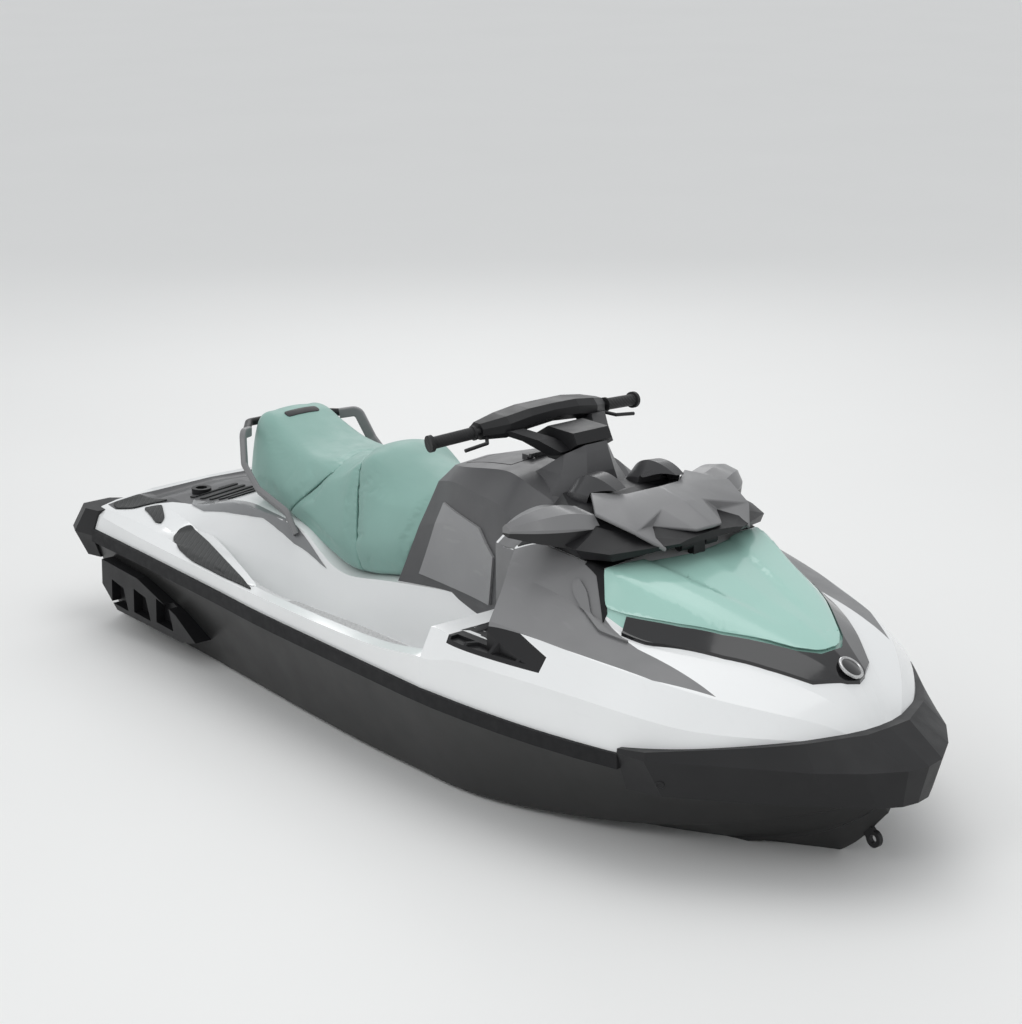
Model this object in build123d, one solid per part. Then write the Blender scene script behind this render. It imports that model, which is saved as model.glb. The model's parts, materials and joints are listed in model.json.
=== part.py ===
from build123d import *
import math
import os

os.makedirs("parts", exist_ok=True)

# A three-seat touring personal watercraft. Lengths are in millimetres.
# Sizes below are taken from the stern forward (x), from the middle outward (y) and from the
# keel up (z). Every solid is moved at the end so that the origin is amidships at the waterline.
ORIGIN_X = 1650
WATERLINE_Z = 140

# Hull and deck joint
SHEER_Z = 455
TUB_FOOT_Z = 382
PLUG_OUTLINE = [(150, 0), (150, 425), (600, 462), (1000, 502), (1250, 520), (1850, 544), (2120, 552), (2120, 0)]
CHINE_FLAT = 42
STRAKE_SHARE = 0.46
STRAKE_WIDTH = 34
SEAM = 3
PANEL_THICKNESS = 12
RUNNING_GAP = 0.3
FAIR_INSERTS = 1
MOVING_GAP = 6

# x, keel height, chine half breadth, chine height, sheer half breadth
HULL_ROWS = [
    (150, 0, 405, 160, 499),
    (600, 0, 424, 160, 526),
    (1200, 0, 476, 160, 574),
    (1800, 0, 518, 160, 604),
    (2170, 0, 521, 160, 618),
    (2500, 2, 452, 178, 592),
    (2800, 14, 345, 215, 536),
    (3030, 75, 225, 262, 425),
    (3200, 172, 118, 310, 236),
    (3320, 300, 42, 362, 90),
]

# x, sheer half breadth, outer crest y z, inner crest y z, floor outer y z, floor inner y z,
# pedestal edge y z, centre height
TUB_ROWS = [
    (112, 496, 470, 512, 440, 530, 380, 542, 300, 548, 240, 556, 560),
    (430, 514, 508, 512, 462, 536, 410, 540, 330, 548, 280, 572, 596),
    (720, 534, 536, 514, 494, 526, 452, 486, 350, 478, 262, 630, 640),
    (1000, 555, 562, 518, 522, 522, 490, 410, 330, 404, 250, 622, 630),
    (1250, 577, 582, 520, 542, 522, 508, 402, 310, 400, 246, 520, 530),
    (1550, 592, 597, 522, 556, 524, 522, 400, 305, 400, 250, 560, 570),
    (1850, 605, 609, 530, 566, 532, 530, 402, 315, 402, 262, 600, 610),
    (2120, 617, 618, 560, 574, 566, 536, 430, 345, 430, 300, 610, 640),
]

# x, sheer half breadth, side crease y z, shoulder y z, hood foot y z, hood edge y z, top height
BOW_ROWS = [
    (2120, 617, 618, 560, 575, 640, 440, 770, 300, 862, 884),
    (2330, 607, 606, 590, 548, 706, 400, 790, 305, 862, 884),
    (2520, 590, 584, 592, 515, 690, 372, 752, 300, 846, 862),
    (2700, 562, 548, 585, 475, 668, 342, 700, 246, 800, 824),
    (2860, 525, 503, 570, 425, 648, 290, 684, 190, 758, 780),
    (3000, 455, 432, 550, 355, 622, 216, 668, 124, 714, 734),
    (3120, 345, 322, 536, 258, 592, 140, 634, 66, 672, 686),
    (3215, 222, 204, 524, 160, 560, 88, 590, 40, 612, 620),
    (3285, 92, 86, 500, 76, 516, 56, 522, 26, 526, 528),
]

# The footwells' front walls, from the centre outward, and the ledge outside them
STEP_BACK = [(2200, 334), (2250, 405), (2290, 462), (2345, 552), (2375, 700)]
STEP_BACK_Z = 640
SURROUND = [(2205, 0), (2205, 326), (2292, 296), (2524, 299), (2524, 0)]
SURROUND_PROUD = 3
# Gloss trim under the hood, upper and lower edges, one side
TRIM_UPPER = [(2655, 326), (2800, 262), (2900, 206), (3000, 134), (3060, 92), (3104, 40), (3112, 0)]
TRIM_LOWER = [(3206, 0), (3192, 34), (3140, 110), (3040, 178), (2940, 238), (2830, 292), (2740, 336), (2668, 356)]
TRIM_PROUD = 10

# Rub rail along the hull and deck joint
RAIL_HEIGHT = 42
RAIL_PROUD = 11
RAIL_START = 150
RAIL_STEPS = 20

# Bow bumper: plan outlines at its foot, its crease and its top
BUMPER_FOOT_Z = 360
BUMPER_CREASE_Z = 472
BUMPER_TOP_Z = 545
BUMPER_TOP_START_Z = 478
BUMPER_TOP_END_Z = 534
BUMPER_START = 2850
# foot x y, crease x y, top x y
BUMPER_PLAN = [
    (2850, 505, 2850, 540, 2850, 528),
    (2950, 470, 2940, 528, 2935, 505),
    (3180, 292, 3192, 332, 3134, 318),
    (3290, 190, 3290, 258, 3212, 225),
    (3374, 110, 3376, 164, 3272, 120),
    (3410, 50, 3438, 66, 3296, 84),
    (3418, 0, 3451, 0, 3298, 0),
]

# Stern bumper corners: plan outline x y at the crease, and how far foot and top draw in
STERN_FOOT_Z = 362
STERN_CREASE_Z = 446
STERN_TOP_Z = 528
STERN_INSET = 30
STERN_PLAN = [(150, 508), (60, 522), (0, 494), (0, 330), (40, 286), (150, 286)]

# Seat: bottom z, widest y z, shoulder y z, top z at each x
SEAT_ROWS = [
    (585, 690, 120, 745, 100, 850, 872),
    (660, 650, 188, 716, 150, 878, 908),
    (800, 640, 218, 700, 150, 884, 914),
    (960, 610, 226, 668, 158, 818, 852),
    (1100, 556, 228, 640, 164, 826, 862),
    (1240, 512, 232, 626, 160, 862, 900),
    (1350, 514, 230, 640, 156, 866, 906),
    (1490, 540, 222, 668, 150, 818, 858),
    (1680, 600, 200, 720, 140, 806, 846),
]
SEAT_CORNER = 16
SEAT_FRONT_LOW = (1530, 570)
SEAT_FRONT_HIGH = (1672, 930)
SEAT_SEAM_REAR = (1020, 1075)
SEAT_SEAM_FRONT = (1238, 1262)

# Console between the knees: foot y z, middle y z, shoulder y z, edge y z, top z at each x
CONSOLE_ROWS = [
    (1500, 236, 540, 196, 720, 152, 850, 96, 908, 914),
    (1650, 244, 560, 214, 760, 172, 890, 110, 932, 940),
    (1780, 256, 580, 236, 800, 206, 918, 172, 962, 974),
    (2000, 290, 600, 276, 800, 250, 918, 172, 988, 1000),
    (2195, 344, 620, 322, 790, 288, 872, 190, 934, 950),
]
KNEE_PANEL = [(1640, 610), (1735, 850), (1960, 830), (2060, 770), (2050, 625)]
KNEE_PROUD = 8

# Glovebox under the lid in front of the rider
GLOVE_X = (1716, 1930)
GLOVE_HALF = 118
GLOVE_FLOOR_Z = 830
GLOVE_LIP = 14
GLOVE_LID_THICKNESS = 9
GLOVE_HINGE_R = 6
GLOVE_PIN_R = 2.5
GLOVE_HINGE_X = 1936
GLOVE_HINGE_RISE = 8
GLOVE_KNUCKLE_Y = (26, 48)

# Front storage bin and its lid group
BIN_X = (2215, 2470)
BIN_HALF = 185
BIN_FLOOR_Z = 600
LID_HINGE_X = 2590
LID_HINGE_Z = 880
LID_HINGE_R = 7
# x, middle underside z, skirt y z, side y z, edge y z, top z
LID_ROWS = [
    (2205, 906, 186, 896, 214, 922, 158, 968, 976),
    (2330, 896, 308, 876, 336, 906, 240, 966, 984),
    (2470, 888, 322, 868, 344, 898, 262, 946, 966),
    (2560, 890, 286, 874, 300, 896, 204, 928, 946),
    (2650, 904, 110, 904, 124, 912, 92, 918, 926),
]
LID_SKIRT = 24
# x, lower side y z, edge y z, crown z of the wind deflector
DEFLECTOR_ROWS = [
    (2300, 178, 940, 160, 996, 1004),
    (2400, 262, 926, 196, 1004, 1026),
    (2500, 272, 908, 186, 984, 1012),
    (2590, 208, 898, 132, 944, 972),
    (2662, 84, 906, 52, 924, 934),
]
DEFLECTOR_NOTCH = [(2590, 0), (2590, 60), (2620, 128), (2700, 128), (2700, 0)]
DEFLECTOR_NOTCH_Z = 921
# x, half width, foot z, crown z of the two gauge cowls
COWL_ROWS = [
    (2222, 44, 950, 996),
    (2280, 66, 950, 1036),
    (2370, 60, 950, 1030),
    (2430, 34, 950, 1000),
]
COWL_Y = 112

# Mirror pods, sections from the lid outward: y, x rear, x front, low z, high z
MIRROR_ROWS = [
    (250, 2300, 2472, 884, 982),
    (322, 2292, 2442, 890, 992),
    (384, 2282, 2388, 900, 978),
    (438, 2272, 2304, 912, 948),
]

# Steering
STEER_X = 2090
STEER_Z = 1030
STEER_TILT = 34
COLUMN_R = 20
COLUMN_DEPTH = 40
# z, x rear, x front, half breadth of the fixed neck cowl
NECK_ROWS = [
    (940, 1985, 2196, 150),
    (1000, 1996, 2194, 106),
    (1060, 2010, 2180, 84),
    (1130, 2020, 2160, 76),
]
HUB_OUTLINE = [(1963, 1074), (2039, 1119), (2150, 1117), (2190, 1046), (2168, 1024), (2040, 1024)]
HUB_HALF = 68
BAR_R = 11
BAR_X = 1935
BAR_Z = 1118
BAR_HALF = 398
BAR_SWEEP = 32
BAR_DROP = 22
POD_HALF = 238
GRIP_R = 18
GRIP_LENGTH = 152
GRIP_CAP_R = 25
GRIP_CAP = 12
# y, x rear, x front, z low, z high of the handlebar pod
POD_ROWS = [
    (0, 1905, 2000, 1112, 1166),
    (90, 1898, 2000, 1104, 1164),
    (170, 1892, 1992, 1088, 1152),
    (238, 1892, 1950, 1086, 1134),
]
# x, z of the yoke leg's middle, y, half size across, half size along
LEG_ROWS = [
    (1972, 1112, 158, 26, 36),
    (2040, 1090, 108, 28, 36),
    (2110, 1052, 64, 30, 40),
]
LEVER_R = 5.5
LEVER_LENGTH = 96

# Side vents
VENT_X = (2205, 2560)
VENT_Z = (618, 712)
VENT_DEPTH = 44
VENT_LOUVRES = 3
LOUVRE_THICKNESS = 8

# Sponsons on the hull sides: side outline x z, outer face and the pockets
SPONSON_OUTLINE = [(245, 388), (470, 372), (700, 300), (815, 232), (735, 214), (330, 226), (240, 300)]
SPONSON_FACE_Y = 530
SPONSON_ROOT_Y = 400
POCKET_X = (300, 440, 580)
POCKET_LENGTH = 104
POCKET_Z = (246, 330)
POCKET_DEPTH = 34

# Jet pump
PUMP_Z = 185
PUMP_BORE_R = 81
PUMP_WALL = 15
PUMP_X = (300, 465)
RECESS_X = 465
RECESS_HALF = 165
RECESS_TOP_Z = 352
FLANGE_R = 108
FLANGE_THICKNESS = 14
VANES = 8
VANE_THICKNESS = 5
VANE_X = (306, 372)
STATOR_HUB_R = 42
TAIL_TIP_X = 220
BLADES = 4
BLADE_TIP_GAP = 5
BLADE_THICKNESS = 6
BLADE_X = (392, 458)
BLADE_TWIST = 84
IMPELLER_HUB_R = 32
SHAFT_R = 14
SHAFT_BORE_GAP = 6
VENTURI_TIP_X = 135
VENTURI_STRAIGHT_X = 200
VENTURI_TIP_R = 45
VENTURI_WALL = 7
NOZZLE_PIVOT_X = 130
NOZZLE_X = (20, 150)
NOZZLE_FRONT_R = 68
NOZZLE_REAR_R = 46
NOZZLE_WALL = 8
NOZZLE_PIN_R = 7
EAR_THICKNESS = 10
EAR_HALF = 16
GATE_PIVOT_X = 120
GATE_R = 136
GATE_WALL = 8
GATE_HALF = 112
GATE_FROM = 48
GATE_TO = 122
GATE_PIN_R = 8

# Intake, grate and ride plate
INTAKE_HALF = 82
INTAKE_FRONT_X = 1000
INTAKE_REAR_X = 560
GRATE_BARS = 5
GRATE_BAR_WIDTH = 8
GRATE_DEPTH = 14
GRATE_Z = 34
RIDE_PLATE_Z = 62
RIDE_PLATE_THICKNESS = 12
RIDE_PLATE_REAR_X = 62
RIDE_PLATE_TAIL_HALF = 118

# Engine block
ENGINE_X = (1240, 1840)
ENGINE_HALF = 210
ENGINE_Z = (100, 470)
ENGINE_ROOM = 12

# Eyes, cargo sockets, pads and rails
EYE_BORE_R = 12
EYE_OUTER_R = 24
EYE_THICKNESS = 14
BOW_EYE_X = 3275
BOW_EYE_Z = 212
BOW_EYE_LEAN = 43
STERN_EYE_X = 126
STERN_EYE_Y = 300
STERN_EYE_Z = 300
SOCKET_X = 330
SOCKET_Y = 170
SOCKET_R = 20
SOCKET_OUTER_R = 34
SOCKET_DEPTH = 26
SOCKET_FOOT_Z = 520
SOCKET_TOP_Z = 592
PLATFORM_THICKNESS = 14
PLATFORM = [(120, 0), (120, 420), (190, 432), (246, 392), (262, 316), (330, 290), (560, 250), (560, 0)]
GRAB_PATH = [(662, 186, 858), (700, 236, 866), (742, 262, 772), (828, 268, 706), (985, 268, 664), (1030, 266, 600)]
GRAB_WIDTH = 34
GRAB_THICKNESS = 20
GRAB_BEND = 26
HANDLE_R = 13
HANDLE_PATH = [(676, 206, 861), (552, 112, 856), (552, -112, 856), (676, -206, 861)]


def moved(shape):
    return Pos(-ORIGIN_X, 0, -WATERLINE_Z) * shape


def solids_of(shape):
    """Every solid in a shape, or in a list of shapes."""
    if shape is None:
        return []
    if isinstance(shape, (list, tuple)):
        return [solid for part in shape for solid in solids_of(part)]
    return list(shape.solids())


def cut(body, *tools):
    """The solids that are left of a body when the tools are taken away."""
    pieces = solids_of(body)
    for tool in solids_of(tools):
        pieces = [left for piece in pieces for left in solids_of(piece - tool)]
    return pieces


def largest(shape):
    """The biggest solid of a shape, without the slivers that a cut leaves inside."""
    return max(solids_of(shape), key=lambda solid: solid.volume)


def fuse(*bodies):
    pieces = solids_of(bodies)
    return solids_of(pieces[0].fuse(*pieces[1:]))


def shared(body, other):
    """The solids of the room that two bodies share."""
    return [room for one in solids_of(body) for two in solids_of(other) for room in solids_of(one & two)]


def placed(place, shape):
    return [place * solid for solid in solids_of(shape)]


def save(name, shape):
    pieces = [moved(solid) for solid in solids_of(shape)]
    whole = pieces[0] if len(pieces) == 1 else Compound(pieces)
    export_step(whole, f"parts/{name}.step")


def both(shape):
    """The port piece and its mirror image to starboard."""
    port = solids_of(shape)
    return port + [mirror(solid, about=Plane.XZ) for solid in port]


def ring(x, half):
    """A closed cross-section at x, from its port half given as pairs of y and z."""
    port = [Vector(x, y, z) for y, z in half]
    starboard = [Vector(x, -y, z) for y, z in reversed(half) if y > 0]
    return Wire.make_polygon(port + starboard, close=True)


def pairs(values):
    return list(zip(values[0::2], values[1::2]))


def loft_rings(rings, ruled=True):
    return Solid.make_loft(rings, ruled)


def slope(rows, index, column):
    """The rise of a column at a row: none at a peak, and between its neighbours' elsewhere."""
    if index in (0, len(rows) - 1):
        near, far = (0, 1) if index == 0 else (-2, -1)
        return (rows[far][column] - rows[near][column]) / (rows[far][0] - rows[near][0])
    before = (rows[index][column] - rows[index - 1][column]) / (rows[index][0] - rows[index - 1][0])
    after = (rows[index + 1][column] - rows[index][column]) / (rows[index + 1][0] - rows[index][0])
    if before * after <= 0:
        return 0
    return 2 * before * after / (before + after)


def read_row(rows, x):
    """A row of the table at x, with every column on a smooth curve through the table."""
    index = next((i for i in range(len(rows) - 1) if x <= rows[i + 1][0]), len(rows) - 2)
    low, high = rows[index], rows[index + 1]
    span = high[0] - low[0]
    share = (x - low[0]) / span
    values = [x]
    for column in range(1, len(low)):
        start = slope(rows, index, column) * span
        end = slope(rows, index + 1, column) * span
        step = high[column] - low[column]
        bend = share * (1 - share) * ((1 - share) * (start - step) + share * (step - end))
        values.append(low[column] + share * step + bend)
    return tuple(values)


def fair(rows, inserts=FAIR_INSERTS):
    """A table with smooth rows put in between its own."""
    made = [rows[0]]
    for low, high in zip(rows, rows[1:]):
        for index in range(1, inserts + 1):
            made.append(read_row(rows, low[0] + (high[0] - low[0]) * index / (inserts + 1)))
        made.append(high)
    return made


def block(xs, ys, zs):
    return Pos(sum(xs) / 2, sum(ys) / 2, sum(zs) / 2) * Box(xs[1] - xs[0], ys[1] - ys[0], zs[1] - zs[0])


def plan_prism(outline, low, high):
    """A vertical prism on an x, y outline."""
    face = Face(Wire.make_polygon([Vector(x, y, low) for x, y in outline], close=True))
    return Solid.extrude(face, Vector(0, 0, high - low))


def side_prism(outline, near, far):
    """A prism across the craft on an x, z outline."""
    face = Face(Wire.make_polygon([Vector(x, near, z) for x, z in outline], close=True))
    return Solid.extrude(face, Vector(0, far - near, 0))


def mirrored_plan(outline):
    return outline + [(x, -y) for x, y in reversed(outline) if y > 0]


def x_tube(radius, start, end, z=PUMP_Z, y=0):
    return Pos((start + end) / 2, y, z) * Rot(0, 90, 0) * Cylinder(radius, end - start)


def y_pin(radius, x, z, start, end):
    return Pos(x, (start + end) / 2, z) * Rot(90, 0, 0) * Cylinder(radius, end - start)


def z_pin(radius, x, y, start, end):
    return Pos(x, y, (start + end) / 2) * Cylinder(radius, end - start)


def hull_master():
    rings = []
    for x, keel, chine_y, chine_z, sheer_y in fair(HULL_ROWS):
        def bottom(y):
            return keel + (chine_z - keel) * y / chine_y
        scale = min(1.0, chine_y / 400)
        inner = STRAKE_SHARE * chine_y
        outer = inner + STRAKE_WIDTH * scale
        flat = chine_y - CHINE_FLAT * scale
        half = [
            (0, keel),
            (inner, bottom(inner)),
            (outer, bottom(inner) + 2),
            (outer + 2, bottom(outer)),
            (flat, bottom(flat)),
            (chine_y, bottom(flat) + 4),
            (sheer_y, SHEER_Z),
        ]
        rings.append(ring(x, half))
    return loft_rings(rings, False)


def well_plug():
    """The part of the deck that hangs below the joint, inside the hull, round the footwells."""
    return plan_prism(mirrored_plan(PLUG_OUTLINE), TUB_FOOT_Z, SHEER_Z)


def tub_master():
    rings = []
    for row in fair(TUB_ROWS):
        half = [(0, TUB_FOOT_Z), (row[1], TUB_FOOT_Z), (row[1], SHEER_Z)]
        half += pairs(row[2:12]) + [(0, row[12])]
        rings.append(ring(row[0], half))
    outside = cut(block((0, 2300), (-700, 700), (TUB_FOOT_Z - 10, SHEER_Z)), well_plug())
    return cut(loft_rings(rings, False), outside)


def bow_master():
    rings = []
    for row in fair(BOW_ROWS):
        half = [(0, SHEER_Z), (row[1], SHEER_Z)] + pairs(row[2:10]) + [(0, row[10])]
        rings.append(ring(row[0], half))
    return loft_rings(rings, False)


def stepped_back(master):
    """Opens the footwells forward to the slanted walls, down to a ledge."""
    side = plan_prism([(2090, STEP_BACK[0][1])] + STEP_BACK + [(2090, 700)], STEP_BACK_Z, 1200)
    return largest(cut(master, both(side)))


def console_master():
    rings = []
    for row in fair(CONSOLE_ROWS):
        half = [(0, row[2] - 60), (row[1], row[2] - 60)] + pairs(row[1:9]) + [(0, row[9])]
        rings.append(ring(row[0], half))
    return loft_rings(rings, False)


def seat_slope(low, high, reach):
    """The room ahead of the seat's slanting front face."""
    drop = (low[0] - (high[0] - low[0]), low[1] - (high[1] - low[1]))
    rise = (high[0] + (high[0] - low[0]), high[1] + (high[1] - low[1]))
    outline = [drop, (low[0] + reach, drop[1]), (low[0] + reach, rise[1]), rise]
    return side_prism(outline, -reach, reach)


HULL = hull_master()
TUB = tub_master()
BOW = stepped_back(bow_master())
CONSOLE = console_master()
AHEAD_OF_SEAT = seat_slope(SEAT_FRONT_LOW, SEAT_FRONT_HIGH, 800)
ENGINE_BAY = block(
    (ENGINE_X[0] - ENGINE_ROOM, ENGINE_X[1] + ENGINE_ROOM),
    (-ENGINE_HALF - ENGINE_ROOM, ENGINE_HALF + ENGINE_ROOM),
    (ENGINE_Z[0], ENGINE_Z[1] + ENGINE_ROOM),
)
BIN_ROOM = block(BIN_X, (-BIN_HALF, BIN_HALF), (BIN_FLOOR_Z, LID_HINGE_Z + 60))


def intake_room():
    low = -60
    outline = [
        (RECESS_X, PUMP_Z - PUMP_BORE_R),
        (RECESS_X, PUMP_Z + PUMP_BORE_R),
        (RECESS_X + 130, PUMP_Z + PUMP_BORE_R * 0.8),
        (INTAKE_FRONT_X, 0),
        (INTAKE_FRONT_X, low),
        (INTAKE_REAR_X, low),
        (INTAKE_REAR_X, PUMP_Z - PUMP_BORE_R - 60),
    ]
    return side_prism(outline, -INTAKE_HALF, INTAKE_HALF)


def hull():
    body = cut(HULL, well_plug())
    body = cut(body, block((0, RECESS_X), (-RECESS_HALF, RECESS_HALF), (-60, RECESS_TOP_Z)))
    body = cut(body, intake_room())
    body = cut(body, ENGINE_BAY)
    body = cut(body, x_tube(SHAFT_R + SHAFT_BORE_GAP, RECESS_X, ENGINE_X[0]))
    return body


def hood_outline():
    return mirrored_plan([(2592, 0), (2528, 302), (2590, 350), (2700, 336), (2830, 292), (2950, 220), (3070, 112), (3112, 0)])


def panel_outline():
    rear = STEP_BACK[:4]
    return [rear[0], (2293, 299), (2528 - SEAM, 302 + SEAM), (2590, 350 + SEAM), (2740, 362), (3012, 338),
            (2862, 424), (2600, 498), rear[3], rear[2], rear[1]]


def lifted(shape, rise):
    return placed(Pos(0, 0, rise), shape)


def layer(master, outline, thickness):
    """The top skin of a master body inside a plan outline."""
    return cut(shared(master, plan_prism(outline, SHEER_Z, 1200)), lifted(master, -thickness))


def deck_parts():
    hood = layer(BOW, hood_outline(), PANEL_THICKNESS)
    panel = cut(layer(BOW, panel_outline(), PANEL_THICKNESS), CONSOLE)
    platform = layer(TUB, mirrored_plan(PLATFORM), PLATFORM_THICKNESS)
    deck = fuse(TUB, BOW)
    surround = shared(lifted(BOW, SURROUND_PROUD), plan_prism(mirrored_plan(SURROUND), SHEER_Z, 1200))
    surround = largest(cut(surround, BOW, CONSOLE, BIN_ROOM, hood, both(panel)))
    trim = nose_trim()
    deck = cut(deck, hood)
    deck = cut(deck, both(panel))
    deck = cut(deck, platform)
    deck = cut(deck, ENGINE_BAY)
    deck = cut(deck, BIN_ROOM)
    deck = cut(deck, shared(CONSOLE, AHEAD_OF_SEAT))
    deck = cut(deck, both(vent_room()))
    sockets = both(z_pin(SOCKET_OUTER_R, SOCKET_X, SOCKET_Y, SOCKET_FOOT_Z, 700))
    deck = cut(deck, sockets)
    platform = cut(platform, sockets)
    return deck, hood, panel, platform, surround, trim


def nose_trim():
    outline = mirrored_plan(TRIM_UPPER[::-1] + TRIM_LOWER[::-1])
    return largest(cut(shared(lifted(BOW, TRIM_PROUD), plan_prism(outline, SHEER_Z, 1200)), BOW))


def vent_room():
    """The slot that holds the port side vent."""
    face = read_row(BOW_ROWS, sum(VENT_X) / 2)[1]
    return block(VENT_X, (face - VENT_DEPTH - 30, face + 60), VENT_Z)


def side_vent(panel):
    frame = cut(shared(BOW, vent_room()), panel)
    mid_z = sum(VENT_Z) / 2
    inner = block((VENT_X[0] + 14, VENT_X[1] - 14), (0, 700), (VENT_Z[0] + 12, VENT_Z[1] - 12))
    face = read_row(BOW_ROWS, sum(VENT_X) / 2)[1]
    inner = shared(inner, block(VENT_X, (face - VENT_DEPTH, face + 60), VENT_Z))
    frame = cut(frame, inner)
    pitch = (VENT_X[1] - VENT_X[0]) / (VENT_LOUVRES + 1)
    for index in range(1, VENT_LOUVRES + 1):
        x = VENT_X[0] + index * pitch
        louvre = Pos(x, face - VENT_DEPTH / 2 - 6, mid_z) * Rot(0, 0, 35) * Box(
            LOUVRE_THICKNESS, VENT_DEPTH + 30, VENT_Z[1] - VENT_Z[0] - 8)
        frame = fuse(frame, cut(shared(louvre, shared(BOW, vent_room())), panel))
    return frame


def rub_rail():
    """A rail round the joint, built from the sheer outline grown outward."""
    outer = []
    inner = []
    for index in range(RAIL_STEPS + 1):
        x = RAIL_START + (BUMPER_START - RAIL_START) * index / RAIL_STEPS
        y = read_row(TUB_ROWS if x < TUB_ROWS[-1][0] else BOW_ROWS, x)[1]
        outer.append((x, y + RAIL_PROUD))
        inner.append((x, y - 60))
    rail = plan_prism(outer + inner[::-1], SHEER_Z - RAIL_HEIGHT + 12, SHEER_Z + 12)
    rail = cut(rail, HULL)
    rail = cut(rail, TUB)
    rail = cut(rail, BOW)
    return largest(rail)


def bow_bumper():
    def outline(column, z):
        half = [(row[column], row[column + 1]) for row in BUMPER_PLAN]
        points = [Vector(x, y, z) for x, y in half]
        points += [Vector(x, -y, z) for x, y in reversed(half) if y > 0]
        return Wire.make_polygon(points, close=True)
    lower = loft_rings([outline(0, BUMPER_FOOT_Z), outline(2, BUMPER_CREASE_Z)])
    upper = loft_rings([outline(2, BUMPER_CREASE_Z), outline(4, BUMPER_TOP_Z)])
    body = fuse(lower, upper)
    wedge = side_prism(
        [(BUMPER_START - 50, BUMPER_TOP_START_Z), (3460, BUMPER_TOP_END_Z + 22), (3460, 700), (BUMPER_START - 50, 700)],
        -700, 700)
    body = cut(body, wedge)
    body = cut(body, HULL)
    body = cut(body, BOW)
    return body


def stern_bumpers():
    def outline(z, inset):
        middle_y = 400
        points = []
        for x, y in STERN_PLAN:
            shift = inset if x < 150 else 0
            toward = -inset if y > middle_y else inset
            points.append(Vector(x + shift, y + toward, z))
        return Wire.make_polygon(points, close=True)
    body = loft_rings([outline(STERN_FOOT_Z, STERN_INSET), outline(STERN_CREASE_Z, 0)])
    body = fuse(body, loft_rings([outline(STERN_CREASE_Z, 0), outline(STERN_TOP_Z, STERN_INSET)]))
    body = cut(body, HULL)
    body = cut(body, TUB)
    return largest(body)


def seat_master():
    rings = []
    for x, low, wide_y, wide_z, edge_y, edge_z, top in fair(SEAT_ROWS):
        half = [
            (0, low),
            (wide_y - SEAT_CORNER, low),
            (wide_y, wide_z),
            (wide_y - SEAT_CORNER, (wide_z + edge_z) / 2 + 16),
            (edge_y, edge_z),
            (0, top),
        ]
        rings.append(ring(x, half))
    return loft_rings(rings, False)


def seats(deck):
    body = seat_master()
    body = cut(body, AHEAD_OF_SEAT)
    body = cut(body, deck)
    rear_low, rear_high = SEAT_SEAM_REAR
    front_low, front_high = SEAT_SEAM_FRONT
    rear_cut = side_prism([(400, 400), (rear_low, 400), (rear_high, 1000), (400, 1000)], -400, 400)
    front_cut = side_prism([(front_low, 400), (2000, 400), (2000, 1000), (front_high, 1000)], -400, 400)
    rear = shared(body, rear_cut)
    front = shared(body, front_cut)
    middle = cut(body, rear_cut, front_cut)
    return rear, middle, front


def glove_hinge_z():
    return read_row(CONSOLE_ROWS, GLOVE_HINGE_X)[9] + GLOVE_HINGE_RISE


def console_parts():
    body = shared(CONSOLE, AHEAD_OF_SEAT)
    well = block(GLOVE_X, (-GLOVE_HALF, GLOVE_HALF), (GLOVE_FLOOR_Z, 1200))
    recess = cut(well, lifted(CONSOLE, -GLOVE_LID_THICKNESS - RUNNING_GAP))
    plate = block((GLOVE_X[0] + MOVING_GAP, GLOVE_X[1] - MOVING_GAP),
                  (-GLOVE_HALF + MOVING_GAP, GLOVE_HALF - MOVING_GAP), (GLOVE_FLOOR_Z, 1200))
    lid = cut(shared(CONSOLE, plate), lifted(CONSOLE, -GLOVE_LID_THICKNESS))
    body = cut(body, recess)
    body = cut(body, block((GLOVE_X[0] + GLOVE_LIP, GLOVE_X[1] - GLOVE_LIP),
                           (-GLOVE_HALF + GLOVE_LIP, GLOVE_HALF - GLOVE_LIP), (GLOVE_FLOOR_Z, 1200)))
    panel = shared(placed(Pos(0, KNEE_PROUD, 0), CONSOLE), side_prism(KNEE_PANEL, 100, 500))
    panel = cut(panel, CONSOLE)
    hinge_z = glove_hinge_z()
    near, far = GLOVE_KNUCKLE_Y
    stand = block((GLOVE_HINGE_X - GLOVE_HINGE_R, GLOVE_HINGE_X + GLOVE_HINGE_R), (-near + 1, near - 1),
                  (hinge_z - GLOVE_HINGE_RISE - 12, hinge_z))
    body = fuse(body, stand, y_pin(GLOVE_HINGE_R, GLOVE_HINGE_X, hinge_z, -near + 1, near - 1))
    body = fuse(body, y_pin(GLOVE_PIN_R, GLOVE_HINGE_X, hinge_z, -far, far))
    knuckle = y_pin(GLOVE_HINGE_R, GLOVE_HINGE_X, hinge_z, near, far)
    arm = block((GLOVE_X[1] - 30, GLOVE_HINGE_X), (near, far), (hinge_z - GLOVE_HINGE_R, hinge_z))
    foot = block((GLOVE_X[1] - 30, GLOVE_X[1] - MOVING_GAP), (near, far),
                 (hinge_z - GLOVE_HINGE_RISE - GLOVE_LID_THICKNESS / 2 - 3, hinge_z))
    lid = fuse(lid, both(knuckle), both(arm), both(foot))
    lid = cut(lid, y_pin(GLOVE_PIN_R + RUNNING_GAP, GLOVE_HINGE_X, hinge_z, -far - 1, far + 1))
    return body, lid, panel


def steering_plane(rise):
    """The plane square to the steering column, that far up the column."""
    tilt = math.radians(STEER_TILT)
    column = Vector(-math.sin(tilt), 0, math.cos(tilt))
    return Plane(origin=Vector(STEER_X, 0, STEER_Z) + column * rise, x_dir=(math.cos(tilt), 0, math.sin(tilt)), z_dir=column)


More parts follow.
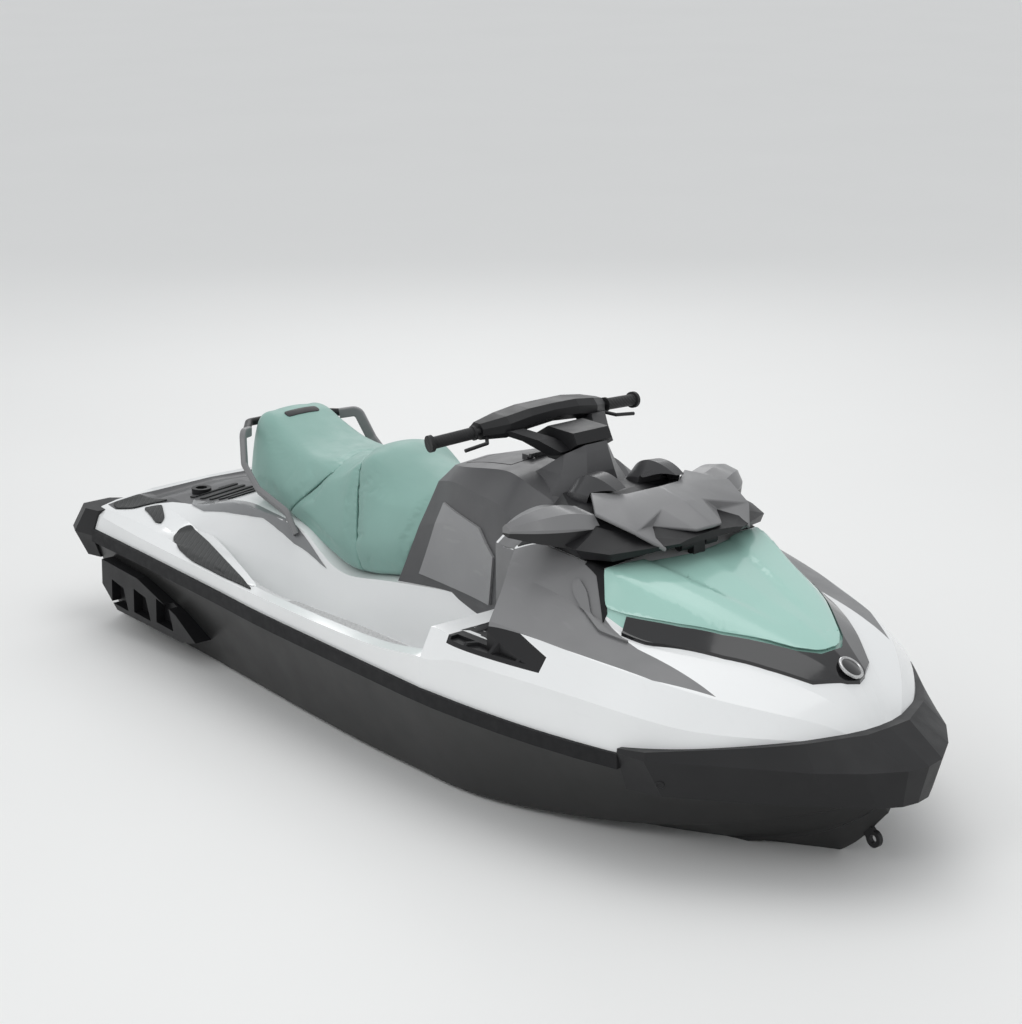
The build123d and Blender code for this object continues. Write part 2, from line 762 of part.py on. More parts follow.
def column_pin(radius, low, high):
    return steering_plane((low + high) / 2) * Cylinder(radius, high - low)


def room_above(rise, reach=600):
    return steering_plane(rise + reach / 2) * Box(reach, reach, reach)


def room_below(rise, reach=600):
    return steering_plane(rise - reach / 2) * Box(reach, reach, reach)


def neck():
    rings = []
    for z, rear, front, half in NECK_ROWS:
        points = [(rear, half * 0.6), (rear + 40, half), (front - 50, half), (front, half * 0.5)]
        outline = mirrored_plan(points)
        rings.append(Wire.make_polygon([Vector(x, y, z) for x, y in outline], close=True))
    body = cut(loft_rings(rings), room_above(-MOVING_GAP / 2))
    return cut(body, column_pin(COLUMN_R + RUNNING_GAP, -COLUMN_DEPTH, 10))


def yoke():
    rings = []
    rows = [(-row[0],) + row[1:] for row in reversed(POD_ROWS)] + POD_ROWS[1:]
    for y, rear, front, low, high in rows:
        chamfer = 0.3 * (high - low)
        points = [
            Vector(rear, y, low + chamfer), Vector(rear, y, high - chamfer), Vector(rear + chamfer, y, high),
            Vector(front - chamfer, y, high), Vector(front, y, high - chamfer),
            Vector(front, y, low + chamfer), Vector(front - chamfer, y, low), Vector(rear + chamfer, y, low),
        ]
        rings.append(Wire.make_polygon(points, close=True))
    pod = loft_rings(rings)
    leg_rings = []
    for x, z, y, across, along in LEG_ROWS:
        points = [Vector(x - along, y - across, z - 12), Vector(x + along, y - across, z + 4),
                  Vector(x + along, y + across, z + 4), Vector(x - along, y + across, z - 12)]
        leg_rings.append(Wire.make_polygon(points, close=True))
    hub = side_prism(HUB_OUTLINE, -HUB_HALF, HUB_HALF)
    body = fuse(pod, hub, both(loft_rings(leg_rings)))
    body = cut(body, room_below(MOVING_GAP / 2))
    body = fuse(body, column_pin(COLUMN_R, -COLUMN_DEPTH + RUNNING_GAP, 20))
    return cut(body, handlebar())


def bar_points(side):
    return [
        Vector(BAR_X, 0, BAR_Z),
        Vector(BAR_X, side * (POD_HALF - 20), BAR_Z - 6),
        Vector(BAR_X - BAR_SWEEP, side * BAR_HALF, BAR_Z - BAR_DROP),
    ]


def cylinder_between(start, end, radius):
    direction = end - start
    plane = Plane(origin=start, z_dir=direction.normalized())
    return Solid.make_cylinder(radius, direction.length, plane)


def handlebar():
    bars = []
    for side in (1, -1):
        points = bar_points(side)
        bars.append(cylinder_between(points[1], points[2], BAR_R))
    return bars


def grips():
    made = []
    for side in (1, -1):
        points = bar_points(side)
        direction = (points[2] - points[1]).normalized()
        end = points[2] + direction * 4
        start = end - direction * GRIP_LENGTH
        sleeve = cylinder_between(start, end, GRIP_R)
        sleeve = fuse(sleeve, cylinder_between(end - direction * GRIP_CAP, end, GRIP_CAP_R))
        sleeve = fuse(sleeve, cylinder_between(start, start + direction * GRIP_CAP * 0.6, GRIP_CAP_R - 3))
        sleeve = cut(sleeve, cylinder_between(points[1], points[2], BAR_R))
        made.append(sleeve)
    return made


def levers():
    made = []
    for side in (1, -1):
        root = Vector(BAR_X + 16, side * (POD_HALF - 12), BAR_Z - 22)
        elbow = root + Vector(34, side * 26, -8)
        tip = elbow + Vector(-6, side * LEVER_LENGTH * 0.8, -10)
        arm = cylinder_between(root, elbow, LEVER_R)
        arm = fuse(arm, Pos(elbow.X, elbow.Y, elbow.Z) * Sphere(LEVER_R))
        arm = fuse(arm, cylinder_between(elbow, tip, LEVER_R))
        made.append(largest(cut(arm, YOKE)))
    return made


def lid_master():
    rings = []
    for x, middle, skirt_y, skirt_z, side_y, side_z, edge_y, edge_z, top in LID_ROWS:
        half = [(0, middle), (skirt_y - LID_SKIRT, middle), (skirt_y, skirt_z), (side_y, side_z),
                (edge_y, edge_z), (0, top)]
        rings.append(ring(x, half))
    return loft_rings(rings)


def deflector_master():
    rings = []
    for x, low_y, low_z, edge_y, edge_z, crown in fair(DEFLECTOR_ROWS):
        rings.append(ring(x, [(0, low_z), (low_y, low_z), (edge_y, edge_z), (0, crown)]))
    return cut(loft_rings(rings, False), plan_prism(mirrored_plan(DEFLECTOR_NOTCH), 800, DEFLECTOR_NOTCH_Z))


def cowls():
    rings = []
    for x, half, foot, crown in COWL_ROWS:
        points = [
            Vector(x, COWL_Y - half, foot), Vector(x, COWL_Y - half * 0.9, (foot + crown) / 2),
            Vector(x, COWL_Y - half * 0.3, crown), Vector(x, COWL_Y + half * 0.4, crown - 4),
            Vector(x, COWL_Y + half, (foot + crown) / 2 - 4), Vector(x, COWL_Y + half, foot),
        ]
        rings.append(Wire.make_polygon(points, close=True))
    return loft_rings(rings, False)


def mirror_pod():
    """A wedge swept back from the lid's side, with a soft crease along its front."""
    rings = []
    for y, rear, front, low, high in fair(MIRROR_ROWS):
        middle = low + 0.55 * (high - low)
        points = [
            Vector(rear, y, low + 6), Vector(rear, y, high - 10), Vector(rear + 0.35 * (front - rear), y, high),
            Vector(front - 0.18 * (front - rear), y, high - 8), Vector(front, y, middle),
            Vector(front - 8, y, low),
        ]
        rings.append(Wire.make_polygon(points, close=True))
    return loft_rings(rings, False)


def lid_parts():
    base = lid_master()
    base = cut(base, block(BIN_X, (-BIN_HALF + 30, BIN_HALF - 30), (860, 912)))
    deflector = cut(deflector_master(), base)
    cowl = largest(cut(cowls(), base, deflector))
    pod = largest(cut(mirror_pod(), base, deflector))
    knuckle = shared(y_pin(LID_HINGE_R + 8, LID_HINGE_X, LID_HINGE_Z, 24, 70),
                     block((2400, 2700), (0, 80), (800, 910)))
    web = block((LID_HINGE_X - 14, LID_HINGE_X + 14), (24, 70), (LID_HINGE_Z, LID_HINGE_Z + 30))
    base = fuse(base, both(knuckle), both(web))
    base = cut(base, y_pin(LID_HINGE_R + RUNNING_GAP, LID_HINGE_X, LID_HINGE_Z, -90, 90))
    return base, deflector, cowl, pod


def lid_hinge(hood, deck):
    pin = y_pin(LID_HINGE_R, LID_HINGE_X, LID_HINGE_Z, -74, 74)
    bracket = block((LID_HINGE_X - 12, LID_HINGE_X + 12), (-22, 22), (820, LID_HINGE_Z + 8))
    bracket = cut(bracket, hood, deck)
    return fuse(pin, bracket)


def pump_housing():
    outer_r = PUMP_BORE_R + PUMP_WALL
    body = fuse(x_tube(outer_r, *PUMP_X), x_tube(FLANGE_R, PUMP_X[1] - FLANGE_THICKNESS, PUMP_X[1]))
    body = cut(body, x_tube(PUMP_BORE_R, PUMP_X[0] - 1, PUMP_X[1] + 1))
    hub = x_tube(STATOR_HUB_R, VANE_X[0], VANE_X[1])
    height = PUMP_BORE_R + 4 - STATOR_HUB_R + 8
    for index in range(VANES):
        angle = 360 / VANES * index
        vane = Box(VANE_X[1] - VANE_X[0], VANE_THICKNESS, height)
        place = Pos(sum(VANE_X) / 2, 0, PUMP_Z) * Rot(angle, 0, 0) * Pos(0, 0, STATOR_HUB_R - 6 + height / 2)
        hub = fuse(hub, place * Rot(0, 0, 12) * vane)
    tail = Pos((VANE_X[0] + TAIL_TIP_X) / 2, 0, PUMP_Z) * Rot(0, -90, 0) * Cone(
        STATOR_HUB_R, 8, VANE_X[0] - TAIL_TIP_X)
    body = fuse(body, hub)
    body = fuse(body, tail)
    body = cut(body, x_tube(SHAFT_R + RUNNING_GAP, VANE_X[1] - 40, VANE_X[1] + 1))
    return body


def impeller():
    tip_r = PUMP_BORE_R - BLADE_TIP_GAP
    body = x_tube(IMPELLER_HUB_R, VANE_X[1] + RUNNING_GAP, BLADE_X[1] + 6)
    body = fuse(body, x_tube(SHAFT_R, VANE_X[1] - 39, ENGINE_X[0] - RUNNING_GAP))
    steps = 4
    for index in range(BLADES):
        rings = []
        for step in range(steps + 1):
            share = step / steps
            x = BLADE_X[0] + share * (BLADE_X[1] - BLADE_X[0])
            angle = math.radians(360 / BLADES * index + share * BLADE_TWIST)
            along = Vector(0, math.sin(angle), math.cos(angle))
            across = Vector(0, math.cos(angle), -math.sin(angle))
            middle = Vector(x, 0, PUMP_Z)
            half = BLADE_THICKNESS / 2 / math.cos(math.radians(50))
            points = [
                middle + along * (IMPELLER_HUB_R - 6) + across * half,
                middle + along * tip_r + across * half,
                middle + along * tip_r - across * half,
                middle + along * (IMPELLER_HUB_R - 6) - across * half,
            ]
            rings.append(Wire.make_polygon(points, close=True))
        body = fuse(body, loft_rings(rings))
    return body


def turned(outline):
    """A body turned about the pump's axis, from pairs of x and radius."""
    points = [Vector(x, 0, PUMP_Z + radius) for x, radius in outline]
    face = Face(Wire.make_polygon(points, close=True))
    return Solid.revolve(face, 360, Axis((0, 0, PUMP_Z), (1, 0, 0)))


def venturi():
    outer_tip = VENTURI_TIP_R + VENTURI_WALL
    body = turned([
        (PUMP_X[0], PUMP_BORE_R),
        (PUMP_X[0], PUMP_BORE_R + PUMP_WALL),
        (VENTURI_STRAIGHT_X, outer_tip),
        (VENTURI_TIP_X, outer_tip),
        (VENTURI_TIP_X, VENTURI_TIP_R),
        (VENTURI_STRAIGHT_X, VENTURI_TIP_R),
    ])
    collar_x = (VENTURI_STRAIGHT_X + 18, VENTURI_STRAIGHT_X + 36)
    ear_r = NOZZLE_FRONT_R + NOZZLE_WALL + 6
    ring_outer = ear_r + EAR_THICKNESS
    collar = cut(x_tube(ring_outer, *collar_x), x_tube(outer_tip + 4, collar_x[0] - 1, collar_x[1] + 1))
    body = fuse(body, collar)
    for sign in (1, -1):
        middle = PUMP_Z + sign * (ear_r + EAR_THICKNESS / 2)
        ear = Pos((NOZZLE_PIVOT_X - 16 + collar_x[1]) / 2, 0, middle) * Box(
            collar_x[1] - NOZZLE_PIVOT_X + 16, 2 * EAR_HALF, EAR_THICKNESS)
        body = fuse(body, cut(ear, z_pin(NOZZLE_PIN_R + RUNNING_GAP, NOZZLE_PIVOT_X, 0, middle - 20, middle + 20)))
        side = sign * (GATE_HALF - GATE_WALL - EAR_THICKNESS / 2 - RUNNING_GAP)
        plate = Pos((GATE_PIVOT_X - 18 + collar_x[1]) / 2, side, PUMP_Z) * Box(
            collar_x[1] - GATE_PIVOT_X + 18, EAR_THICKNESS, 2 * EAR_HALF)
        reach = abs(side) + EAR_THICKNESS / 2
        link = Pos(sum(collar_x) / 2, sign * (ring_outer + reach) / 2 - sign * 8, PUMP_Z) * Box(
            collar_x[1] - collar_x[0], reach - ring_outer + 16, 2 * EAR_HALF)
        pin = y_pin(GATE_PIN_R, GATE_PIVOT_X, PUMP_Z, min(side, sign * (GATE_HALF + 4)), max(side, sign * (GATE_HALF + 4)))
        body = fuse(body, plate)
        body = fuse(body, link)
        body = fuse(body, pin)
    return body


def nozzle():
    body = turned([
        (NOZZLE_X[1], NOZZLE_FRONT_R),
        (NOZZLE_X[1], NOZZLE_FRONT_R + NOZZLE_WALL),
        (NOZZLE_PIVOT_X - 20, NOZZLE_FRONT_R + NOZZLE_WALL),
        (NOZZLE_X[0], NOZZLE_REAR_R + NOZZLE_WALL),
        (NOZZLE_X[0], NOZZLE_REAR_R),
        (NOZZLE_PIVOT_X - 20, NOZZLE_FRONT_R),
    ])
    ear_r = NOZZLE_FRONT_R + NOZZLE_WALL + 6
    for sign in (1, -1):
        low = PUMP_Z + sign * (NOZZLE_FRONT_R + 3)
        shoulder = PUMP_Z + sign * (ear_r - RUNNING_GAP)
        tip = PUMP_Z + sign * (ear_r + EAR_THICKNESS)
        body = fuse(body, z_pin(NOZZLE_PIN_R + 5, NOZZLE_PIVOT_X, 0, min(low, shoulder), max(low, shoulder)))
        body = fuse(body, z_pin(NOZZLE_PIN_R, NOZZLE_PIVOT_X, 0, min(low, tip), max(low, tip)))
    return body


def gate():
    inner = GATE_R
    outer = GATE_R + GATE_WALL
    centre = Vector(GATE_PIVOT_X, 0, PUMP_Z)

    def spot(radius, degrees, y):
        angle = math.radians(degrees)
        return Vector(centre.X - radius * math.cos(angle), y, centre.Z + radius * math.sin(angle))

    def sector(radius_in, radius_out, low_y, high_y):
        middle = (GATE_FROM + GATE_TO) / 2
        edges = [
            Edge.make_three_point_arc(spot(radius_out, GATE_FROM, low_y), spot(radius_out, middle, low_y),
                                      spot(radius_out, GATE_TO, low_y)),
            Edge.make_line(spot(radius_out, GATE_TO, low_y), spot(radius_in, GATE_TO, low_y)),
            Edge.make_three_point_arc(spot(radius_in, GATE_TO, low_y), spot(radius_in, middle, low_y),
                                      spot(radius_in, GATE_FROM, low_y)),
            Edge.make_line(spot(radius_in, GATE_FROM, low_y), spot(radius_out, GATE_FROM, low_y)),
        ]
        return Solid.extrude(Face(Wire(edges)), Vector(0, high_y - low_y, 0))

    body = sector(inner, outer, -GATE_HALF, GATE_HALF)
    for sign in (1, -1):
        near = sign * GATE_HALF
        far = sign * (GATE_HALF - GATE_WALL)
        low, high = min(near, far), max(near, far)
        points = [spot(26, GATE_FROM - 90, low), spot(26, GATE_FROM + 160, low), spot(outer - 1, GATE_TO, low),
                  spot(outer - 1, (GATE_FROM + GATE_TO) / 2, low), spot(outer - 1, GATE_FROM, low)]
        plate = Solid.extrude(Face(Wire.make_polygon(points, close=True)), Vector(0, high - low, 0))
        plate = fuse(plate, y_pin(24, GATE_PIVOT_X, PUMP_Z, low, high))
        body = fuse(body, plate)
        body = cut(body, y_pin(GATE_PIN_R + RUNNING_GAP, GATE_PIVOT_X, PUMP_Z, low - 1, high + 1))
    return body


def ride_plate():
    outline = [(RECESS_X, RECESS_HALF), (150, RECESS_HALF), (150, RIDE_PLATE_TAIL_HALF),
               (RIDE_PLATE_REAR_X, RIDE_PLATE_TAIL_HALF - 24)]
    outline = outline + [(x, -y) for x, y in reversed(outline)]
    return plan_prism(outline, RIDE_PLATE_Z, RIDE_PLATE_Z + RIDE_PLATE_THICKNESS)


def intake_grate():
    length = INTAKE_FRONT_X - INTAKE_REAR_X
    frame = block((INTAKE_REAR_X, INTAKE_REAR_X + 24), (-INTAKE_HALF, INTAKE_HALF), (GRATE_Z, GRATE_Z + GRATE_DEPTH))
    pitch = 2 * INTAKE_HALF / (GRATE_BARS + 1)
    for index in range(1, GRATE_BARS + 1):
        y = -INTAKE_HALF + index * pitch
        frame = fuse(frame, block((INTAKE_REAR_X, INTAKE_FRONT_X - 60), (y - GRATE_BAR_WIDTH / 2, y + GRATE_BAR_WIDTH / 2),
                       (GRATE_Z, GRATE_Z + GRATE_DEPTH)))
    return cut(frame, HULL_BODY)


def eye(x, y, z, along):
    """A plate with a round bore across the craft, on a foot that reaches into what carries it."""
    plate = y_pin(EYE_OUTER_R, x, z, y - EYE_THICKNESS / 2, y + EYE_THICKNESS / 2)
    foot = Pos(x, y, z) * Rot(0, along, 0) * Pos(-30, 0, 0) * Box(60, EYE_THICKNESS, 1.5 * EYE_OUTER_R)
    plate = fuse(plate, foot)
    plate = cut(plate, y_pin(EYE_BORE_R, x, z, y - 20, y + 20))
    return plate


def sponson():
    body = side_prism(SPONSON_OUTLINE, SPONSON_ROOT_Y, SPONSON_FACE_Y)
    for x in POCKET_X:
        outline = [(x, POCKET_Z[0]), (x + POCKET_LENGTH, POCKET_Z[0] - 6), (x + POCKET_LENGTH - 26, POCKET_Z[1] - 14),
                   (x + 4, POCKET_Z[1])]
        body = cut(body, side_prism(outline, SPONSON_FACE_Y - POCKET_DEPTH, SPONSON_FACE_Y + 10))
    return cut(body, HULL, TUB)


def grab_rail():
    points = [Vector(*point) for point in GRAB_PATH]
    path = FilletPolyline(*points, radius=GRAB_BEND)
    start = Plane(origin=path @ 0, z_dir=path % 0)
    section = start * RectangleRounded(GRAB_THICKNESS, GRAB_WIDTH, 6)
    return sweep(section, path=path)


def rear_handle(rails):
    """The bar behind the seat that a rider holds, from one rail to the other."""
    path = FilletPolyline(*[Vector(*point) for point in HANDLE_PATH], radius=GRAB_BEND)
    section = Plane(origin=path @ 0, z_dir=path % 0) * Circle(HANDLE_R)
    return largest(cut(sweep(section, path=path), rails))


def cargo_socket():
    body = z_pin(SOCKET_OUTER_R, SOCKET_X, SOCKET_Y, SOCKET_FOOT_Z, SOCKET_TOP_Z)
    return cut(body, z_pin(SOCKET_R, SOCKET_X, SOCKET_Y, SOCKET_TOP_Z - SOCKET_DEPTH, SOCKET_TOP_Z + 1))


HULL_BODY = hull()
DECK, HOOD, SIDE_PANEL, PLATFORM_TOP, SURROUND_TOP, NOSE = deck_parts()
SEAT_REAR, SEAT_MIDDLE, SEAT_FRONT = seats(DECK)
CONSOLE_BODY, GLOVE_LID, KNEE = console_parts()
LID_BASE, DEFLECTOR, COWL, MIRROR_POD = lid_parts()
RAIL = rub_rail()
YOKE = yoke()
GRAB_RAILS = both(largest(cut(grab_rail(), DECK)))

save("hull", HULL_BODY)
save("deck", DECK)
save("hood", HOOD)
save("hood_surround", SURROUND_TOP)
save("nose_trim", NOSE)
save("side_panels", both(SIDE_PANEL))
save("rear_platform", PLATFORM_TOP)
save("rub_rails", both(RAIL))
save("bow_bumper", bow_bumper())
save("stern_bumpers", both(stern_bumpers()))
save("seat_rear", SEAT_REAR)
save("seat_middle", SEAT_MIDDLE)
save("seat_front", SEAT_FRONT)
save("console", CONSOLE_BODY)
save("glovebox_lid", GLOVE_LID)
save("knee_panels", both(KNEE))
save("neck_cowl", cut(neck(), CONSOLE_BODY, DECK))
save("yoke", YOKE)
save("handlebar", handlebar())
save("grips", grips())
save("levers", levers())
save("storage_lid", LID_BASE)
save("deflector", DEFLECTOR)
save("gauge_cowls", both(COWL))
save("mirror_pods", both(MIRROR_POD))
save("lid_hinge", lid_hinge(HOOD, DECK))
save("side_vents", both(side_vent(SIDE_PANEL)))
save("pump_housing", pump_housing())
save("impeller", impeller())
save("venturi", venturi())
save("steering_nozzle", nozzle())
save("reverse_gate", gate())
save("ride_plate", ride_plate())
save("intake_grate", intake_grate())
save("sponsons", both(sponson()))
save("grab_rails", GRAB_RAILS)
save("rear_handle", rear_handle(GRAB_RAILS))
save("cargo_sockets", both(cargo_socket()))
save("bow_eye", largest(cut(eye(BOW_EYE_X, 0, BOW_EYE_Z, BOW_EYE_LEAN), HULL)))
save("stern_eyes", both(largest(cut(eye(STERN_EYE_X, STERN_EYE_Y, STERN_EYE_Z, 180), HULL))))
save("engine_block", block(ENGINE_X, (-ENGINE_HALF, ENGINE_HALF), ENGINE_Z))
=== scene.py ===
import json
import math

import bmesh
import bpy
from mathutils import Matrix, Vector
from mathutils.bvhtree import BVHTree


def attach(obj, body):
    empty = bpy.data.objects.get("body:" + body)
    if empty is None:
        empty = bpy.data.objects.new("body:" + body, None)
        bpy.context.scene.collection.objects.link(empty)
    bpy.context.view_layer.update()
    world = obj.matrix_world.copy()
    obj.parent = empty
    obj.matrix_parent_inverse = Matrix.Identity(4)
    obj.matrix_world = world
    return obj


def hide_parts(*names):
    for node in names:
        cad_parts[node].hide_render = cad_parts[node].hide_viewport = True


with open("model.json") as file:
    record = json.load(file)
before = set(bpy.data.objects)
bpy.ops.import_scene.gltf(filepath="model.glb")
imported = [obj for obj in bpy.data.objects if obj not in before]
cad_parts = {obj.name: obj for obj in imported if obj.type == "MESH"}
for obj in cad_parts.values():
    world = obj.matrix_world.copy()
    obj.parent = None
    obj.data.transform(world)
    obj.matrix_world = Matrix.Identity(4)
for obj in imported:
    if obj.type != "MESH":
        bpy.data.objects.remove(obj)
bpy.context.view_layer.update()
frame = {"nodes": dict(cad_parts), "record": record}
NODES = frame["nodes"]

# The CAD frame starts amidships on the water. Points here are in millimetres
# from the stern, from the centreline and above the keel.
STERN_TO_ORIGIN = 1650
KEEL_TO_WATER = 140

# Camera and picture
PICTURE_LONG_SIDE = 1024
SENSOR = 36
FOCAL_LENGTH = 2420 / PICTURE_LONG_SIDE * SENSOR
AZIMUTH = math.radians(49.9)
ELEVATION = math.radians(16.4)
ROLL = math.radians(0.5)
CAMERA_PLACE = (7183, -4542, 2865)

# Colours, linear
WHITE = (0.83, 0.84, 0.84)
CHARCOAL = (0.022, 0.022, 0.022)
BUMPER_GREY = (0.016, 0.016, 0.017)
TEAL = (0.37, 0.61, 0.54)
SEAT_TEAL = (0.235, 0.40, 0.355)
MID_GREY = (0.190, 0.190, 0.193)
DARK_GREY = (0.085, 0.085, 0.088)
BLACK = (0.009, 0.009, 0.010)
PAD_GREY = (0.016, 0.017, 0.017)
STRIPE_GREY = (0.21, 0.215, 0.22)
MAT_GREY = (0.50, 0.50, 0.50)
# Knee panels: the console's dark moulding made lighter, a painted highlight for the light falling on the
# console's flanks
PAINTED_HIGHLIGHT_GREY = (0.27, 0.27, 0.275)
COWL_GREY = (0.040, 0.040, 0.042)
GLOSS_BLACK = (0.012, 0.012, 0.013)
IRON = (0.11, 0.11, 0.11)
STEEL = (0.60, 0.60, 0.60)
ALUMINIUM = (0.50, 0.51, 0.52)
FLOOR = (0.86, 0.86, 0.85)

# Soft parts
CUSHION_VOXEL = 0.0065
CUSHION_PRESSURE = 4.0
CUSHION_FRAMES = 20
CUSHION_SWELL = 0.006
SEAT_STEP = 20
# x, low z, widest y and z, shoulder y and z, crown z
SEAT_ROWS = [
    (590, 700, 114, 764, 92, 862, 876),
    (640, 662, 168, 738, 114, 896, 910),
    (695, 654, 197, 718, 122, 893, 906),
    (760, 648, 211, 704, 135, 862, 876),
    (860, 636, 218, 686, 147, 824, 838),
    (960, 616, 222, 670, 154, 806, 822),
    (1070, 574, 224, 650, 160, 806, 836),
    (1120, 556, 225, 642, 160, 808, 852),
    (1180, 538, 226, 634, 160, 820, 878),
    (1235, 524, 228, 628, 158, 856, 900),
    (1285, 520, 228, 630, 154, 872, 909),
    (1335, 522, 226, 640, 152, 852, 899),
    (1385, 528, 224, 650, 152, 826, 880),
    (1440, 538, 221, 660, 150, 816, 868),
    (1500, 550, 217, 672, 148, 810, 856),
    (1580, 573, 208, 692, 142, 806, 846),
    (1680, 606, 196, 722, 136, 804, 842),
]
# Seams and the front face, low and high x, z points
SEAM_REAR = ((880, 600), (1140, 840), 90)
SEAM_FRONT = ((1318, 540), (1250, 860), 150)
SEAT_FRONT_FACE = ((1524, 570), (1666, 930), 0)
SEAM_SHOULDER = 160
# Outline of the blank plate on the seat's hump: x, y
SEAT_PLATE = [(690, -66), (720, -66), (720, 66), (690, 66)]


def at(x, y, z):
    """The place of a point in millimetres from the stern, the centreline and the keel."""
    return Vector(((x - STERN_TO_ORIGIN) / 1000, y / 1000, (z - KEEL_TO_WATER) / 1000))


# Materials


class Finish:
    """A Principled material with the few node steps that the finishes below share."""

    def __init__(self, name, roughness, metallic=0.0, coat=0.0, sheen=0.0, specular=0.5):
        self.material = bpy.data.materials.new(name)
        self.material.use_nodes = True
        self.tree = self.material.node_tree
        self.shader = self.tree.nodes["Principled BSDF"]
        self.shader.inputs["Roughness"].default_value = roughness
        self.shader.inputs["Metallic"].default_value = metallic
        self.shader.inputs["Specular IOR Level"].default_value = specular
        self.shader.inputs["Coat Weight"].default_value = coat
        self.shader.inputs["Coat Roughness"].default_value = 0.06
        self.shader.inputs["Sheen Weight"].default_value = sheen
        self.shader.inputs["Sheen Roughness"].default_value = 0.4
        self.place = self.tree.nodes.new("ShaderNodeTexCoord").outputs["Object"]

    def node(self, kind, **settings):
        made = self.tree.nodes.new(kind)
        for key, value in settings.items():
            setattr(made, key, value)
        return made

    def join(self, source, target):
        if isinstance(source, (int, float)):
            target.default_value = source
        elif isinstance(source, tuple):
            target.default_value = (*source, 1.0)
        else:
            self.tree.links.new(source, target)

    def stretched(self, scale):
        mapping = self.node("ShaderNodeMapping")
        mapping.inputs["Scale"].default_value = scale
        self.join(self.place, mapping.inputs["Vector"])
        return mapping.outputs["Vector"]

    def noise(self, scale, detail=3.0, stretch=None):
        made = self.node("ShaderNodeTexNoise")
        made.inputs["Scale"].default_value = scale
        made.inputs["Detail"].default_value = detail
        self.join(self.stretched(stretch) if stretch else self.place, made.inputs["Vector"])
        return made.outputs["Fac"]

    def cells(self, scale):
        made = self.node("ShaderNodeTexVoronoi", feature="DISTANCE_TO_EDGE")
        made.inputs["Scale"].default_value = scale
        self.join(self.place, made.inputs["Vector"])
        return made.outputs["Distance"]

    def bands(self, scale, direction):
        made = self.node("ShaderNodeTexWave", bands_direction=direction)
        made.inputs["Scale"].default_value = scale
        self.join(self.place, made.inputs["Vector"])
        return made.outputs["Fac"]

    def spread(self, value, low, high, to_low, to_high):
        made = self.node("ShaderNodeMapRange")
        self.join(value, made.inputs["Value"])
        numbers = (low, high, to_low, to_high)
        for name, number in zip(("From Min", "From Max", "To Min", "To Max"), numbers):
            made.inputs[name].default_value = number
        return made.outputs["Result"]

    def times(self, one, two):
        made = self.node("ShaderNodeMath", operation="MULTIPLY")
        self.join(one, made.inputs[0])
        self.join(two, made.inputs[1])
        return made.outputs["Value"]

    def blend(self, share, first, second):
        made = self.node("ShaderNodeMix", data_type="RGBA")
        self.join(share, made.inputs["Factor"])
        self.join(first, made.inputs["A"])
        self.join(second, made.inputs["B"])
        return made.outputs["Result"]

    def colour(self, value):
        self.join(value, self.shader.inputs["Base Color"])

    def roughness(self, value):
        self.join(value, self.shader.inputs["Roughness"])

    def bump(self, height, distance, strength, below=None):
        made = self.node("ShaderNodeBump")
        made.inputs["Distance"].default_value = distance
        made.inputs["Strength"].default_value = strength
        self.join(height, made.inputs["Height"])
        if below is not None:
            self.join(below, made.inputs["Normal"])
        self.join(made.outputs["Normal"], self.shader.inputs["Normal"])
        return made.outputs["Normal"]


def shaded(colour, factor):
    """A colour made darker or lighter."""
    return tuple(min(1.0, channel * factor) for channel in colour)


def gelcoat(name, colour, roughness=0.16, scuffs=0.10, coat=0.35, specular=0.5):
    """Sprayed and polished gelcoat: slight waviness, faint tone changes and fine swirls."""
    made = Finish(name, roughness, coat=coat, specular=specular)
    tone = made.spread(made.noise(1.6, 4), 0.35, 0.65, 0.0, 1.0)
    base = made.blend(tone, shaded(colour, 0.965), shaded(colour, 1.02))
    swirl = made.spread(made.noise(1.0, 6, (3.0, 46.0, 46.0)), 0.60, 0.74, 0.0, scuffs)
    made.colour(made.blend(swirl, base, shaded(colour, 0.86)))
    made.roughness(made.spread(made.noise(9, 5), 0.3, 0.7, roughness - 0.03, roughness + 0.07))
    made.bump(made.noise(34, 2), 0.0006, 0.22)
    return made.material


def moulding(name, colour, roughness=0.42, grain=0.0022, depth=0.35, coat=0.0, specular=0.4):
    """Injection-moulded plastic with a fine leather grain and faint rub marks."""
    made = Finish(name, roughness, coat=coat, specular=specular)
    tone = made.spread(made.noise(2.4, 5), 0.3, 0.7, 0.0, 1.0)
    base = made.blend(tone, shaded(colour, 0.90), shaded(colour, 1.08))
    rub = made.spread(made.noise(1.0, 7, (7.0, 38.0, 38.0)), 0.62, 0.80, 0.0, 0.25)
    made.colour(made.blend(rub, base, shaded(colour, 1.45)))
    made.roughness(made.spread(made.noise(14, 4), 0.3, 0.7, roughness - 0.05, roughness + 0.07))
    made.bump(made.cells(1 / grain), 0.0004, depth)
    return made.material


def two_tone(name, upper, lower, slant, level):
    """A moulding painted above a slanting line and left black below it."""
    made = Finish(name, 0.34, coat=0.10, specular=0.4)
    dot = made.node("ShaderNodeVectorMath", operation="DOT_PRODUCT")
    made.join(made.place, dot.inputs[0])
    dot.inputs[1].default_value = slant
    share = made.spread(dot.outputs["Value"], level - 0.0006, level + 0.0006, 0.0, 1.0)
    tone = made.spread(made.noise(2.4, 5), 0.3, 0.7, 0.0, 1.0)
    paint = made.blend(tone, shaded(upper, 0.92), shaded(upper, 1.06))
    made.colour(made.blend(share, lower, paint))
    made.roughness(made.spread(made.noise(14, 4), 0.3, 0.7, 0.29, 0.40))
    made.bump(made.cells(540), 0.0004, 0.18)
    return made.material


